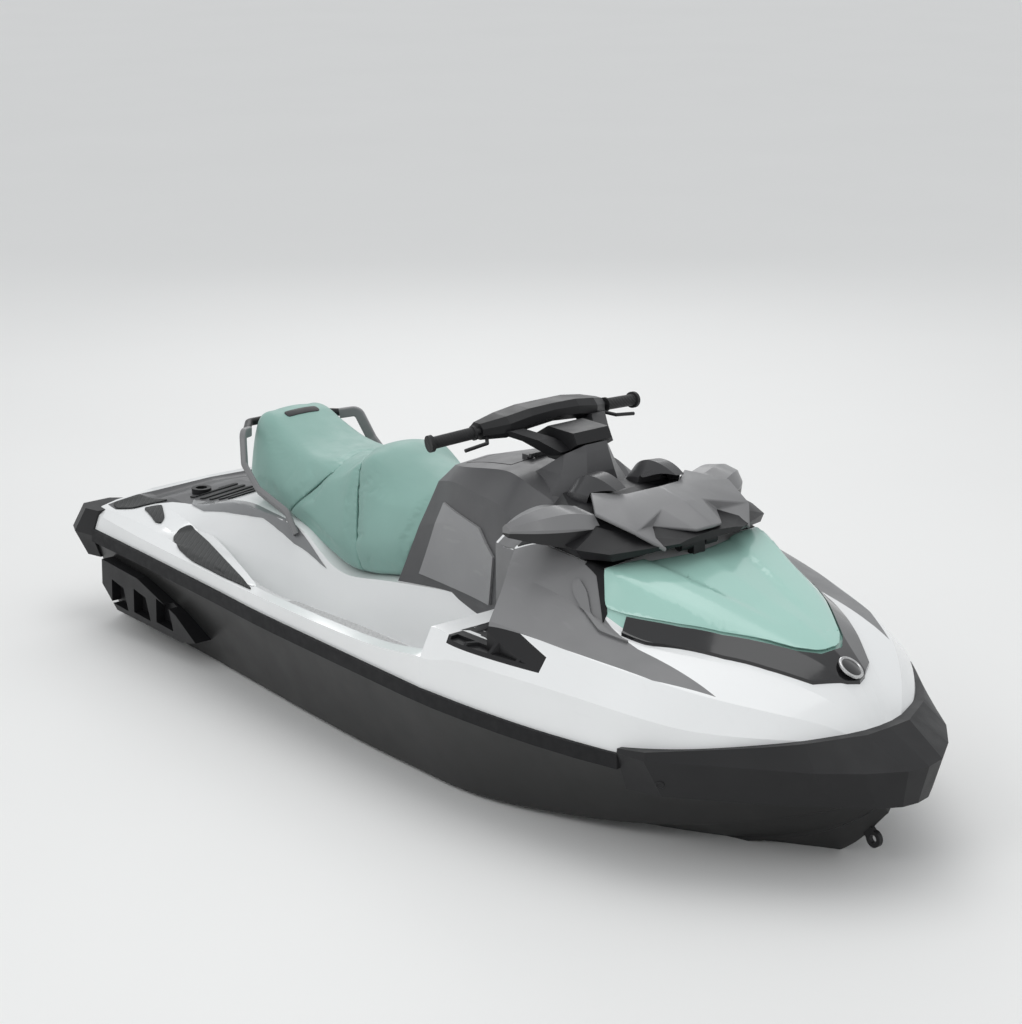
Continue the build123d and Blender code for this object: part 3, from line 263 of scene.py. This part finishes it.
def rubber(name, colour, roughness=0.72):
    made = Finish(name, roughness, sheen=0.06, specular=0.3)
    dust = made.spread(made.noise(5, 6), 0.5, 0.75, 0.0, 0.35)
    made.colour(made.blend(dust, colour, shaded(colour, 2.2)))
    made.roughness(made.spread(made.noise(40, 3), 0.3, 0.7, roughness - 0.06, roughness + 0.08))
    made.bump(made.noise(900, 2), 0.0003, 0.30)
    return made.material


def grip_rubber(name):
    """Diamond knurl of two crossed rows of ribs."""
    made = Finish(name, 0.70, sheen=0.10)
    dust = made.spread(made.noise(30, 5), 0.5, 0.8, 0.0, 0.4)
    made.colour(made.blend(dust, BLACK, shaded(BLACK, 2.4)))
    ribs = made.times(made.bands(62, "DIAGONAL"), made.bands(70, "Y"))
    made.bump(ribs, 0.0011, 0.8)
    return made.material


def vinyl(name, colour, roughness=0.46):
    """Marine vinyl: small pebbled grain, soft creases and a light sheen."""
    made = Finish(name, roughness, sheen=0.16)
    tone = made.spread(made.noise(3.2, 5), 0.3, 0.7, 0.0, 1.0)
    base = made.blend(tone, shaded(colour, 0.93), shaded(colour, 1.06))
    worn = made.spread(made.noise(11, 6), 0.56, 0.78, 0.0, 0.35)
    made.colour(made.blend(worn, base, shaded(colour, 1.16)))
    made.roughness(made.spread(made.noise(22, 4), 0.3, 0.7, roughness - 0.06, roughness + 0.08))
    pebble = made.bump(made.cells(520), 0.0005, 0.40)
    made.bump(made.noise(7, 3), 0.006, 0.16, pebble)
    return made.material


def traction_foam(name, colour):
    """Foam deck pad with pressed diagonal grooves."""
    made = Finish(name, 0.82, sheen=0.2)
    speckle = made.spread(made.noise(420, 3), 0.45, 0.7, 0.0, 0.5)
    made.colour(made.blend(speckle, colour, shaded(colour, 2.0)))
    fine = made.bump(made.noise(700, 2), 0.0004, 0.5)
    groove = made.spread(made.bands(27, "DIAGONAL"), 0.80, 0.95, 1.0, 0.0)
    made.bump(groove, 0.0014, 0.75, fine)
    return made.material


def metal(name, colour, roughness, brushed=(4.0, 260.0, 260.0), depth=0.25):
    made = Finish(name, roughness, metallic=1.0)
    stain = made.spread(made.noise(16, 6), 0.45, 0.75, 0.0, 0.5)
    made.colour(made.blend(stain, colour, shaded(colour, 0.72)))
    grain = made.noise(1.0, 4, brushed)
    made.roughness(made.spread(grain, 0.3, 0.7, roughness - 0.06, roughness + 0.12))
    made.bump(grain, 0.0003, depth)
    return made.material


def cast(name, colour, roughness):
    """Sand-cast and lightly blasted metal."""
    made = Finish(name, roughness, metallic=0.9)
    stain = made.spread(made.noise(12, 6), 0.4, 0.75, 0.0, 0.6)
    made.colour(made.blend(stain, colour, shaded(colour, 0.6)))
    made.roughness(made.spread(made.noise(50, 4), 0.3, 0.7, roughness - 0.08, roughness + 0.12))
    made.bump(made.noise(480, 4), 0.0007, 0.5)
    return made.material


def stone(name, colour):
    """The studio floor."""
    made = Finish(name, 0.55)
    tone = made.spread(made.noise(0.7, 4), 0.3, 0.7, 0.0, 1.0)
    made.colour(made.blend(tone, shaded(colour, 0.985), colour))
    made.bump(made.noise(120, 3), 0.0004, 0.10)
    return made.material


# The mirror pods are grey above a plane, its normal and level in metres
POD_SLANT = (-0.10, 0.0, 1.0)
POD_LEVEL = 0.720

LOOKS = {
    "hull_gelcoat": gelcoat("hull gelcoat", CHARCOAL, 0.36, 0.30, 0.0, 0.35),
    "white_gelcoat": gelcoat("white gelcoat", WHITE),
    "teal_paint": gelcoat("teal paint", TEAL, 0.14),
    "grey_panel": moulding("grey panel", MID_GREY, 0.36, 0.0018, 0.18, 0.10),
    "dark_panel": moulding("dark panel", DARK_GREY, 0.40, 0.0018, 0.22, 0.08),
    "black_rubber": rubber("black rubber", BLACK),
    "bumper_plastic": moulding("bumper moulding", BUMPER_GREY, 0.46, 0.0024, 0.35, 0.0, 0.3),
    "seat_vinyl": vinyl("seat vinyl", SEAT_TEAL),
    "black_plastic": moulding("black moulding", BLACK, 0.42, 0.0018, 0.25, 0.0, 0.35),
    "grip_rubber": grip_rubber("grip rubber"),
    "steel": metal("brushed steel", STEEL, 0.26),
    "pump_aluminium": cast("pump aluminium", ALUMINIUM, 0.40),
    "engine_iron": cast("engine iron", IRON, 0.55),
    "gloss_black": gelcoat("gloss black", GLOSS_BLACK, 0.10, 0.05),
    "deck_pad": traction_foam("deck pad", PAD_GREY),
    "foot_mat": traction_foam("foot mat", MAT_GREY),
    "stripe": gelcoat("grey stripe", STRIPE_GREY, 0.20),
    # Painted highlight: the grey panels' moulding in a lighter grey, standing in for the lit flanks of
    # the console
    "painted_highlight_panel": moulding("painted highlight panel", PAINTED_HIGHLIGHT_GREY, 0.36, 0.0018, 0.18, 0.10),
    "cowl_black": moulding("cowl moulding", COWL_GREY, 0.30, 0.0018, 0.16, 0.10),
    "pod_shell": two_tone("pod shell", MID_GREY, BLACK, POD_SLANT, POD_LEVEL),
}
# Finishes that belong to the slot of another
# Nodes with a finish other than their slot's
OWN_LOOKS = {
    "gauge_cowls": "cowl_black",
    "lid_hinge": "black_plastic",
    "handlebar": "black_plastic",
    # The knee panels take the lighter grey, a painted highlight for the lit console flanks
    "knee_panels": "painted_highlight_panel",
    "mirror_pods": "pod_shell",
    "bow_eye": "black_plastic",
    "hood_surround": "black_plastic",
}


def dress_nodes():
    """Each CAD node takes the finish of its material slot, or one of its own."""
    for row in frame["record"]["subparts"]:
        node = NODES[row["node"]]
        node.data.materials.clear()
        node.data.materials.append(LOOKS[OWN_LOOKS.get(row["node"], row["material_slot"])])


# Shapes


def new_piece(name, mesh, look, body="craft", smooth=40):
    """An object of this mesh in its finish, riding on a body, its edges sharp above an angle."""
    piece = bpy.data.objects.new(name, mesh)
    bpy.context.scene.collection.objects.link(piece)
    mesh.materials.clear()
    mesh.materials.append(LOOKS[look])
    mesh.shade_smooth()
    mesh.set_sharp_from_angle(angle=math.radians(smooth))
    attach(piece, body)
    return piece


def mesh_from(name, work):
    mesh = bpy.data.meshes.new(name)
    bmesh.ops.recalc_face_normals(work, faces=work.faces)
    work.to_mesh(mesh)
    work.free()
    return mesh


# Sides by name, with their sign in y
SIDES = {"starboard": -1, "port": 1}
# Where the rays that look for a surface start
ABOVE_ALL_Z = 1500
BESIDE_ALL_Y = 900


class Surface:
    """The outside of some CAD nodes and pieces, to lay flat pieces on."""

    def __init__(self, *names, pieces=(), top=ABOVE_ALL_Z):
        self.top = top
        points = []
        faces = []
        for mesh in [NODES[name].data for name in names] + [piece.data for piece in pieces]:
            start = len(points)
            points += [vertex.co.copy() for vertex in mesh.vertices]
            faces += [[start + i for i in face.vertices] for face in mesh.polygons]
        self.tree = BVHTree.FromPolygons(points, faces)

    def under(self, x, y):
        """The first point met from above, or nothing."""
        found, normal, _, _ = self.tree.ray_cast(at(x, y, self.top), Vector((0, 0, -1)))
        return found, normal

    def beside(self, x, z, side):
        """The first point met from port, 1, or from starboard, -1."""
        found, normal, _, _ = self.tree.ray_cast(at(x, side * BESIDE_ALL_Y, z), Vector((0, -side, 0)))
        return found, normal


def rounded(points, radius, steps=5):
    """A closed plan outline with its corners turned into arcs of short chords."""
    outline = []
    count = len(points)
    for i, corner in enumerate(points):
        corner = Vector(corner)
        back = Vector(points[i - 1]) - corner
        ahead = Vector(points[(i + 1) % count]) - corner
        reach = min(radius, back.length * 0.45, ahead.length * 0.45)
        start = corner + back.normalized() * reach
        end = corner + ahead.normalized() * reach
        for k in range(steps + 1):
            t = k / steps
            outline.append(start * (1 - t) ** 2 + corner * 2 * t * (1 - t) + end * t**2)
    return outline


def flat_grid(outline, step):
    """A flat face of this outline, cut into a grid so that it can bend."""
    work = bmesh.new()
    work.faces.new([work.verts.new((one, two, 0)) for one, two in outline])
    bmesh.ops.triangulate(work, faces=work.faces)
    for axis in (0, 1):
        low = min(point[axis] for point in outline)
        high = max(point[axis] for point in outline)
        normal = Vector((axis == 0, axis == 1, 0))
        for k in range(1, int((high - low) / step) + 1):
            parts = work.verts[:] + work.edges[:] + work.faces[:]
            bmesh.ops.bisect_plane(work, geom=parts, plane_co=normal * (low + k * step), plane_no=normal)
    bmesh.ops.dissolve_limit(work, angle_limit=0.001, verts=[], edges=[])
    return work


def thicken(piece, thickness, offset, rounding, segments, angle):
    """Gives a sheet its thickness and rounds the edges that are sharper than an angle."""
    solid = piece.modifiers.new("thickness", "SOLIDIFY")
    solid.thickness = thickness
    solid.offset = offset
    edge = piece.modifiers.new("edge", "BEVEL")
    edge.width = rounding
    edge.segments = segments
    edge.limit_method = "ANGLE"
    edge.angle_limit = math.radians(angle)


def laid_patch(name, outline, surface, look, lift, thickness, step, relief=None, side=0):
    """A flat piece cut to an outline and laid on a surface, with rounded-over edges.

    The outline is in plan, x and y. For a side of 1 or -1 it is seen from port or starboard, x and z.
    """
    work = flat_grid(outline, step)
    outward = Vector((0, side, 0)) if side else Vector((0, 0, 1))
    missed = []
    for vertex in work.verts:
        one, two, _ = vertex.co
        if side:
            found, _ = surface.beside(one, two, side)
        else:
            found, _ = surface.under(one, two)
        if found is None:
            missed.append(vertex)
        else:
            rise = lift + (relief(one, two) if relief else 0)
            vertex.co = found + outward * rise / 1000
    bmesh.ops.delete(work, geom=missed, context="VERTS")
    piece = new_piece(name, mesh_from(name, work), look)
    thicken(piece, thickness / 1000, 1.0, min(0.0015, thickness / 3000), 2, 50)


def mirrored(outline):
    return [Vector((point[0], -point[1])) for point in reversed(outline)]


def lathed(name, profile, place, direction, look, turns):
    """A turned piece: the profile's pairs are radius and height in mm, along a direction."""
    work = bmesh.new()
    rings = []
    for radius, height in profile:
        angles = [2 * math.pi * k / turns for k in range(turns)]
        points = [(radius * math.cos(a), radius * math.sin(a), height) for a in angles]
        rings.append([work.verts.new(Vector(point) / 1000) for point in points])
    for lower, upper in zip(rings, rings[1:]):
        for k in range(turns):
            nxt = (k + 1) % turns
            work.faces.new((lower[k], lower[nxt], upper[nxt], upper[k]))
    work.faces.new(list(reversed(rings[0])))
    work.faces.new(rings[-1])
    turn = Vector(direction).to_track_quat("Z", "Y").to_matrix().to_4x4()
    work.transform(Matrix.Translation(place) @ turn)
    return new_piece(name, mesh_from(name, work), look)


# Seat


def read_row(rows, x):
    """One row of a table at a station, on a smooth curve through its rows."""
    last = len(rows) - 1
    i = 0
    while i < last - 1 and rows[i + 1][0] <= x:
        i += 1
    start, end = rows[i], rows[i + 1]
    span = end[0] - start[0]
    t = (x - start[0]) / span
    made = [x]
    for column in range(1, len(start)):
        slopes = []
        for k in (i, i + 1):
            low, high = rows[max(k - 1, 0)], rows[min(k + 1, last)]
            slopes.append((high[column] - low[column]) / (high[0] - low[0]) * span)
        a, b = start[column], end[column]
        made.append(a * (2 * t**3 - 3 * t**2 + 1) + b * (3 * t**2 - 2 * t**3)
                    + slopes[0] * (t**3 - 2 * t**2 + t) + slopes[1] * (t**3 - t**2))
    return made


def smooth_loop(points, steps):
    """A closed smooth curve through a ring of points."""
    loop = []
    count = len(points)
    for i in range(count):
        a, b, c, d = (Vector(points[(i + k) % count]) for k in (-1, 0, 1, 2))
        for k in range(steps):
            t = k / steps
            loop.append((b * 2 + (c - a) * t + (a * 2 - b * 5 + c * 4 - d) * t**2
                         + (b * 3 - a - c * 3 + d) * t**3) / 2)
    return loop


def tube(rings):
    """A closed form through rings of as many points each."""
    work = bmesh.new()
    made = [[work.verts.new(point) for point in ring] for ring in rings]
    for one, two in zip(made, made[1:]):
        count = len(one)
        for k in range(count):
            work.faces.new((one[k], one[(k + 1) % count], two[(k + 1) % count], two[k]))
    work.faces.new(made[0][::-1])
    work.faces.new(made[-1])
    bmesh.ops.recalc_face_normals(work, faces=work.faces)
    return work


def seat_form():
    """The whole seat before it is cut into its panels."""
    rings = []
    low_x, high_x = SEAT_ROWS[0][0], SEAT_ROWS[-1][0]
    count = int((high_x - low_x) / SEAT_STEP)
    for k in range(count + 1):
        row = read_row(SEAT_ROWS, low_x + (high_x - low_x) * k / count)
        x, low, wide_y, wide_z, edge_y, edge_z, crown = row
        half = [(wide_y * 0.7, low), (wide_y - 6, low + 14), (wide_y + 3, (low + wide_z) / 2),
                (wide_y, wide_z), ((wide_y + edge_y) / 2 + 5, (wide_z + edge_z) / 2 + 8),
                (edge_y, edge_z), (edge_y * 0.55, edge_z + (crown - edge_z) * 0.75)]
        ring = [(0, low)] + half + [(0, crown)] + [(-y, z) for y, z in reversed(half)]
        rings.append([at(x, y, z) for y, z in smooth_loop(ring, 4)])
    return tube(rings)


def shift_by_bow(work, bow):
    """Moves the crown along the craft, least at the shoulders."""
    for vertex in work.verts:
        across = min(abs(vertex.co.y) * 1000 / SEAM_SHOULDER, 1)
        vertex.co.x += bow / 1000 * (1 - across**1.2)


def cut_by(work, low, high, bow, keep_front):
    """Cuts a form at a slanting face across the craft, bowed aft at the crown, and closes it."""
    along = at(high[0], 0, high[1]) - at(low[0], 0, low[1])
    normal = Vector((along.z, 0, -along.x)).normalized()
    shift_by_bow(work, bow)
    parts = work.verts[:] + work.edges[:] + work.faces[:]
    cut = bmesh.ops.bisect_plane(work, geom=parts, plane_co=at(low[0], 0, low[1]), plane_no=normal,
                                 clear_inner=keep_front, clear_outer=not keep_front)
    rim = [item for item in cut["geom_cut"] if isinstance(item, bmesh.types.BMEdge)]
    made = bmesh.ops.contextual_create(work, geom=rim)
    bmesh.ops.triangulate(work, faces=made["faces"])
    shift_by_bow(work, -bow)


def cushion(name, node, cuts):
    """A seat panel: foam under a stretched cover, blown up a little by a cloth simulation."""
    work = seat_form()
    for low, high, bow, keep_front in cuts:
        cut_by(work, low, high, bow, keep_front)
    piece = new_piece(name, mesh_from(name, work), "seat_vinyl", smooth=60)
    remesh = piece.modifiers.new("even", "REMESH")
    remesh.mode = "VOXEL"
    remesh.voxel_size = CUSHION_VOXEL
    keep_result(piece)
    relax = piece.modifiers.new("relax", "SMOOTH")
    relax.factor = 0.5
    relax.iterations = 3
    keep_result(piece)
    blow_up(piece)
    finer = piece.modifiers.new("finer", "SUBSURF")
    finer.levels = 1
    finer.render_levels = 1
    piece.data.shade_smooth()
    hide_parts(node)
    return piece


def seat():
    rear = (*SEAM_REAR, False)
    middle = ((*SEAM_REAR, True), (*SEAM_FRONT, False))
    front = ((*SEAM_FRONT, True), (*SEAT_FRONT_FACE, False))
    hump = cushion("rear_cushion", "seat_rear", (rear,))
    cushion("middle_cushion", "seat_middle", middle)
    cushion("front_cushion", "seat_front", front)
    surface = Surface(pieces=(hump,))
    laid_patch("seat_plate", rounded(SEAT_PLATE, 13), surface, "black_plastic", -0.5, 2.5, 8)


def keep_result(piece):
    """Applies the modifiers of a piece."""
    graph = bpy.context.evaluated_depsgraph_get()
    done = bpy.data.meshes.new_from_object(piece.evaluated_get(graph))
    piece.modifiers.clear()
    piece.data = done


def blow_up(piece):
    """Swells the cover under pressure, by no more than CUSHION_SWELL anywhere."""
    start = [vertex.co.copy() for vertex in piece.data.vertices]
    cloth = piece.modifiers.new("cover", "CLOTH")
    cloth.settings.use_pressure = True
    cloth.settings.uniform_pressure_force = CUSHION_PRESSURE
    cloth.settings.effector_weights.gravity = 0.0
    cloth.settings.quality = 4
    cloth.point_cache.frame_start = 1
    cloth.point_cache.frame_end = CUSHION_FRAMES
    scene = bpy.context.scene
    for number in range(1, CUSHION_FRAMES + 1):
        scene.frame_set(number)
    graph = bpy.context.evaluated_depsgraph_get()
    swollen = piece.evaluated_get(graph).to_mesh()
    ends = [vertex.co.copy() for vertex in swollen.vertices]
    piece.evaluated_get(graph).to_mesh_clear()
    piece.modifiers.clear()
    for vertex, old, new in zip(piece.data.vertices, start, ends):
        step = new - old
        if step.length > CUSHION_SWELL:
            step = step.normalized() * CUSHION_SWELL
        vertex.co = old + step
    scene.frame_set(1)


# Trim

# Plan outlines are those of the port side: x, y. Side outlines are x, z.
BADGE_PLACE = (3172, 0)
BADGE_RADIUS = 38
REAR_PAD = [(533, 396), (524, 342), (700, 392), (1214, 566), (1026, 556), (831, 536), (702, 506),
            (588, 456)]
SMALL_PAD = [(282, 375), (294, 343), (311, 320), (422, 380), (456, 417), (438, 426)]
STRIPE = [(388, 240), (600, 236), (752, 230), (900, 240), (1037, 252), (1185, 257), (1020, 269),
          (841, 264), (699, 282), (527, 296), (440, 282)]
RIDGE_PLAN = [(500, 300), (620, 326), (760, 372), (900, 422), (1050, 478), (1160, 520), (1210, 542),
              (1130, 550), (900, 526), (700, 500), (600, 486), (500, 430)]
RIDGE_TOP_Z = 524
RIDGE_FOOT_Z = 396
RIDGE_OUTER_Y = 484
RIDGE_OUTER_FOOT_Z = 490
RIDGE_ROUNDING = 14
FOOT_MAT = [(1080, 326), (1080, 470), (1250, 498), (1600, 520), (1880, 516), (2060, 516), (2060, 352),
            (1880, 340), (1700, 318), (1400, 312), (1200, 322)]


def footwell_ridge(name, outline):
    """The moulded ridge that carries the rear pad along the footwell's outer rear corner."""
    work = bmesh.new()
    feet = [RIDGE_FOOT_Z if abs(y) < RIDGE_OUTER_Y else RIDGE_OUTER_FOOT_Z for _, y in outline]
    low = [work.verts.new(at(x, y, foot)) for (x, y), foot in zip(outline, feet)]
    top = [work.verts.new(at(x, y, RIDGE_TOP_Z)) for x, y in outline]
    count = len(outline)
    for k in range(count):
        work.faces.new((low[k], low[(k + 1) % count], top[(k + 1) % count], top[k]))
    work.faces.new(low[::-1])
    rim = work.faces.new(top)
    bmesh.ops.bevel(work, geom=rim.edges[:], offset=RIDGE_ROUNDING / 1000, segments=4, profile=0.5,
                    affect="EDGES")
    bmesh.ops.triangulate(work, faces=work.faces)
    return new_piece(name, mesh_from(name, work), "white_gelcoat")


HOOD_SKIN = [(2598, 0), (2534, 296), (2590, 343), (2648, 323), (2794, 256), (2893, 200), (2992, 128),
             (3052, 86), (3094, 38), (3102, 0)]
HOOD_RISE = 9
# Where the hood rises to a flank: y of the crease at its rear end x, and how fast it runs inward
CREASE_Y = 152
CREASE_REAR_X = 2600
CREASE_SLANT = 0.27
CREASE_HALF = 12
HOOD_NOSE_X = (2860, 3000)
NOSE_SHARE = 0.8
# Outside the crease the skin sinks again: from and to which distance, and how far
SINK_START = 40
SINK_END = 120
SINK_DEPTH = 4
SKIN_LIFT = 1.5
WING_SIDE = [(2090, 646), (2206, 646), (2206, 837), (2090, 837)]
WING_TOP = [(2090, 286), (2206, 286), (2206, 333), (2090, 333)]
HOOD_GAP = [(2470, 292), (2530, 292), (2600, 345), (2602, 362), (2522, 313), (2470, 308)]
PANEL_RIB = [(2462, 346), (2478, 334), (2520, 343), (2570, 371), (2640, 372), (2724, 356),
             (2618, 392), (2484, 362)]
VENT_FLOOR = [(2198, 490), (2340, 490), (2340, 534), (2198, 534)]
VENT_INSIDE_Z = 690
VENT_TAIL = [(2196, 642), (2204, 628), (2300, 616), (2372, 610), (2380, 626), (2352, 634), (2346, 668),
             (2318, 664)]
STERN_PAD = [(128, 405), (128, 300), (170, 292), (300, 285), (258, 318), (240, 392), (188, 426)]
# Rear edge x, inner and outer y
PLATFORM_RIBS = [(346, 40, 232), (392, 40, 222), (438, 40, 214), (484, 40, 206), (530, 40, 198)]
PLATFORM_RIB_WIDTH = 22
PLUG_PLACE = (2956, 483, 399)
PLUG_FACING = (0.58, 0.74, -0.33)
PLUG_PROFILE = [(13, -2), (13, 1), (11.5, 2.5), (8, 2.5), (6.5, 1), (5, 1)]


def ramp(value, low, high):
    """A smooth step from 0 to 1."""
    t = min(max((value - low) / (high - low), 0), 1)
    return t * t * (3 - 2 * t)


def hood_relief(x, y):
    """Two raised flanks that meet at the nose, with a sunken middle."""
    side = abs(y)
    crease = CREASE_Y - (x - CREASE_REAR_X) * CREASE_SLANT
    flank = ramp(side, crease - CREASE_HALF, crease + CREASE_HALF)
    nose = ramp(x, *HOOD_NOSE_X)
    height = max(flank, nose * NOSE_SHARE) * HOOD_RISE
    if side > crease + SINK_START:
        height -= ramp(side, crease + SINK_START, crease + SINK_END) * SINK_DEPTH
    return SKIN_LIFT + height


def hood_skin():
    """The sculpted outer skin of the hood."""
    outline = rounded(HOOD_SKIN + [(x, -y) for x, y in reversed(HOOD_SKIN[1:-1])], 14, 3)
    laid_patch("hood_skin", outline, Surface("hood"), "teal_paint", 0, 2.5, 14, hood_relief)


def side_panel_details(side, turn):
    """The rib on a side panel, the seal beside the hood and the wing behind the panel."""
    outline = on_side(rounded(PANEL_RIB, 12, 3), side)
    laid_patch(f"panel_rib_{side}", outline, Surface("side_panels"), "grey_panel", -1, 9, 18)
    laid_patch(f"wing_side_{side}", WING_SIDE, Surface("deck"), "grey_panel", 0.5, 3, 30, side=turn)
    laid_patch(f"wing_top_{side}", on_side(WING_TOP, side), Surface("deck"), "grey_panel", 0.5, 3, 20)
    surface = Surface("deck", "side_panels", "hood")
    laid_patch(f"hood_gap_{side}", on_side(HOOD_GAP, side), surface, "black_rubber", 1, 2.5, 10)


def vent_details(side, turn):
    """The tail of a side vent and the dark floor of its recess."""
    outline = rounded(VENT_TAIL, 8, 3)
    laid_patch(f"vent_tail_{side}", outline, Surface("deck"), "black_plastic", -1, 7, 14, side=turn)
    surface = Surface("deck", top=VENT_INSIDE_Z)
    laid_patch(f"vent_floor_{side}", on_side(VENT_FLOOR, side), surface, "black_plastic", 0.3, 2, 20)


def bow_plug(side, turn):
    x, y, z = PLUG_PLACE
    along, out, up = PLUG_FACING
    place = at(x, turn * y, z)
    lathed(f"plug_{side}", PLUG_PROFILE, place, (along, turn * out, up), "black_plastic", 24)


def platform_pads():
    surface = Surface("rear_platform")
    for side in SIDES:
        outline = on_side(rounded(STERN_PAD, 14, 3), side)
        laid_patch(f"stern_pad_{side}", outline, surface, "deck_pad", -0.5, 5, 30)
    for k, (x, near, far) in enumerate(PLATFORM_RIBS):
        front = x + PLATFORM_RIB_WIDTH
        outline = rounded([(x, near), (x, far), (front, far - 4), (front, near)], 9, 3)
        for side in SIDES:
            name = f"platform_rib_{side}_{k + 1}"
            laid_patch(name, on_side(outline, side), surface, "deck_pad", -0.5, 5, 40)


# The deflector's corners on the port side and on the centreline: x, y, z
DEFLECTOR = {
    "rear_middle": (2440, 0, 1010),
    "rear_bend": (2410, 100, 1000),
    "rear_corner": (2352, 182, 1006),
    "outer": (2457, 260, 984),
    "flank": (2578, 220, 948),
    "fang": (2640, 160, 902),
    "notch": (2545, 125, 938),
    "nose_corner": (2640, 50, 936),
    "nose": (2654, 0, 942),
    "ridge": (2530, 76, 976),
    "crown": (2545, 0, 986),
}
DEFLECTOR_THICKNESS = 0.012
DEFLECTOR_ROUNDING = 0.005
DEFLECTOR_FACES = [
    ("rear_middle", "rear_bend", "ridge", "crown"),
    ("crown", "ridge", "nose_corner", "nose"),
    ("rear_bend", "rear_corner", "outer"),
    ("rear_bend", "outer", "flank", "ridge"),
    ("ridge", "flank", "notch"),
    ("flank", "fang", "notch"),
    ("ridge", "notch", "nose_corner"),
]


def deflector():
    """The wind deflector, a creased shell with a nose between two fangs."""
    work = bmesh.new()
    found = {}

    def corner(name, turn):
        x, y, z = DEFLECTOR[name]
        key = (x, y * turn)
        if key not in found:
            found[key] = work.verts.new(at(x, y * turn, z))
        return found[key]

    for turn in (1, -1):
        for face in DEFLECTOR_FACES:
            work.faces.new([corner(name, turn) for name in face])
    bmesh.ops.recalc_face_normals(work, faces=work.faces)
    if sum(face.normal.z for face in work.faces) < 0:
        bmesh.ops.reverse_faces(work, faces=work.faces)
    mesh = mesh_from("deflector_shell", work)
    piece = new_piece("deflector_shell", mesh, "grey_panel", "front_lid", 30)
    thicken(piece, DEFLECTOR_THICKNESS, -1.0, DEFLECTOR_ROUNDING, 3, 8)
    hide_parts("deflector")


def badge(surface):
    """A bare disc in a bright ring, where the trim comes to its point."""
    found, normal = surface.under(*BADGE_PLACE)
    place = found - normal * 0.001
    ring = [(BADGE_RADIUS - 6, 0), (BADGE_RADIUS, 0), (BADGE_RADIUS, 5), (BADGE_RADIUS - 2, 7)]
    ring += [(BADGE_RADIUS - 5, 7), (BADGE_RADIUS - 6, 5)]
    lathed("badge_ring", ring, place, normal, "steel", 48)
    face = [(BADGE_RADIUS - 6.5, 0), (BADGE_RADIUS - 6.5, 4), (BADGE_RADIUS - 8, 5), (4, 6)]
    lathed("badge_face", face, place, normal, "gloss_black", 48)


def on_side(outline, side):
    """A port outline, turned over for the starboard side."""
    return mirrored(outline) if side == "starboard" else outline


def pads_and_stripes():
    """The pads and stripes behind the footwells, and the mats in them."""
    for side in SIDES:
        ridge = footwell_ridge(f"ridge_{side}", on_side(rounded(RIDGE_PLAN, 30, 3), side))
        surface = Surface("deck", "rear_platform", pieces=(ridge,))
        for name, points, radius in (("rear_pad", REAR_PAD, 26), ("small_pad", SMALL_PAD, 16)):
            outline = on_side(rounded(points, radius), side)
            laid_patch(f"{name}_{side}", outline, surface, "deck_pad", 0.5, 5, 14)
        outline = on_side(rounded(STRIPE, 10, 3), side)
        laid_patch(f"stripe_{side}", outline, surface, "stripe", 2.4, 0.8, 8)
        outline = on_side(rounded(FOOT_MAT, 40), side)
        laid_patch(f"foot_mat_{side}", outline, surface, "foot_mat", -0.5, 4, 40)


# Stage


def camera():
    data = bpy.data.cameras.new("camera")
    data.sensor_width = SENSOR
    data.lens = FOCAL_LENGTH
    made = bpy.data.objects.new("camera", data)
    bpy.context.scene.collection.objects.link(made)
    back = Vector((math.sin(AZIMUTH) * math.cos(ELEVATION), -math.cos(AZIMUTH) * math.cos(ELEVATION),
                   math.sin(ELEVATION)))
    right = Vector((math.cos(AZIMUTH), math.sin(AZIMUTH), 0))
    up = back.cross(right)
    across = right * math.cos(ROLL) - up * math.sin(ROLL)
    upward = right * math.sin(ROLL) + up * math.cos(ROLL)
    turn = Matrix((across, upward, back)).transposed().to_4x4()
    made.matrix_world = Matrix.Translation(at(*CAMERA_PLACE)) @ turn
    bpy.context.scene.camera = made


FLOOR_HALF = 90


def floor():
    work = bmesh.new()
    bmesh.ops.create_grid(work, x_segments=8, y_segments=8, size=FLOOR_HALF)
    mesh = bpy.data.meshes.new("floor")
    work.to_mesh(mesh)
    work.free()
    made = bpy.data.objects.new("floor", mesh)
    mesh.materials.append(stone("pale floor", FLOOR))
    bpy.context.scene.collection.objects.link(made)


def softbox(name, place, aim, size, power):
    data = bpy.data.lights.new(name, "AREA")
    data.shape = "RECTANGLE"
    data.size, data.size_y = size
    data.energy = power
    made = bpy.data.objects.new(name, data)
    bpy.context.scene.collection.objects.link(made)
    turn = (Vector(aim) - Vector(place)).to_track_quat("-Z", "Y").to_matrix().to_4x4()
    made.matrix_world = Matrix.Translation(place) @ turn


# Name, place and aim in metres, width and height, watts
SOFTBOXES = [
    ("overhead", (0.2, 0.6, 5.0), (0, 0, 0.4), (5.0, 3.0), 60),
    ("key", (1.5, -5.5, 4.4), (0.3, 0, 0.5), (3.0, 2.2), 50),
    ("rim", (-4.5, 3.8, 3.6), (0, 0, 0.6), (3.0, 2.0), 42),
]
SKY = (0.97, 0.985, 1.0)
SKY_STRENGTH = 0.74


def lights():
    for row in SOFTBOXES:
        softbox(*row)
    world = bpy.data.worlds.new("studio")
    world.use_nodes = True
    tree = world.node_tree
    sky = tree.nodes["Background"]
    sky.inputs["Color"].default_value = (*SKY, 1)
    sky.inputs["Strength"].default_value = SKY_STRENGTH
    bpy.context.scene.world = world
    bpy.context.scene.view_settings.view_transform = "Standard"
    bpy.context.scene.view_settings.look = "None"


dress_nodes()
seat()
badge(Surface("deck", "hood", "nose_trim"))
hood_skin()
for side, turn in SIDES.items():
    side_panel_details(side, turn)
    vent_details(side, turn)
    bow_plug(side, turn)
platform_pads()
deflector()
pads_and_stripes()
camera()
floor()
lights()
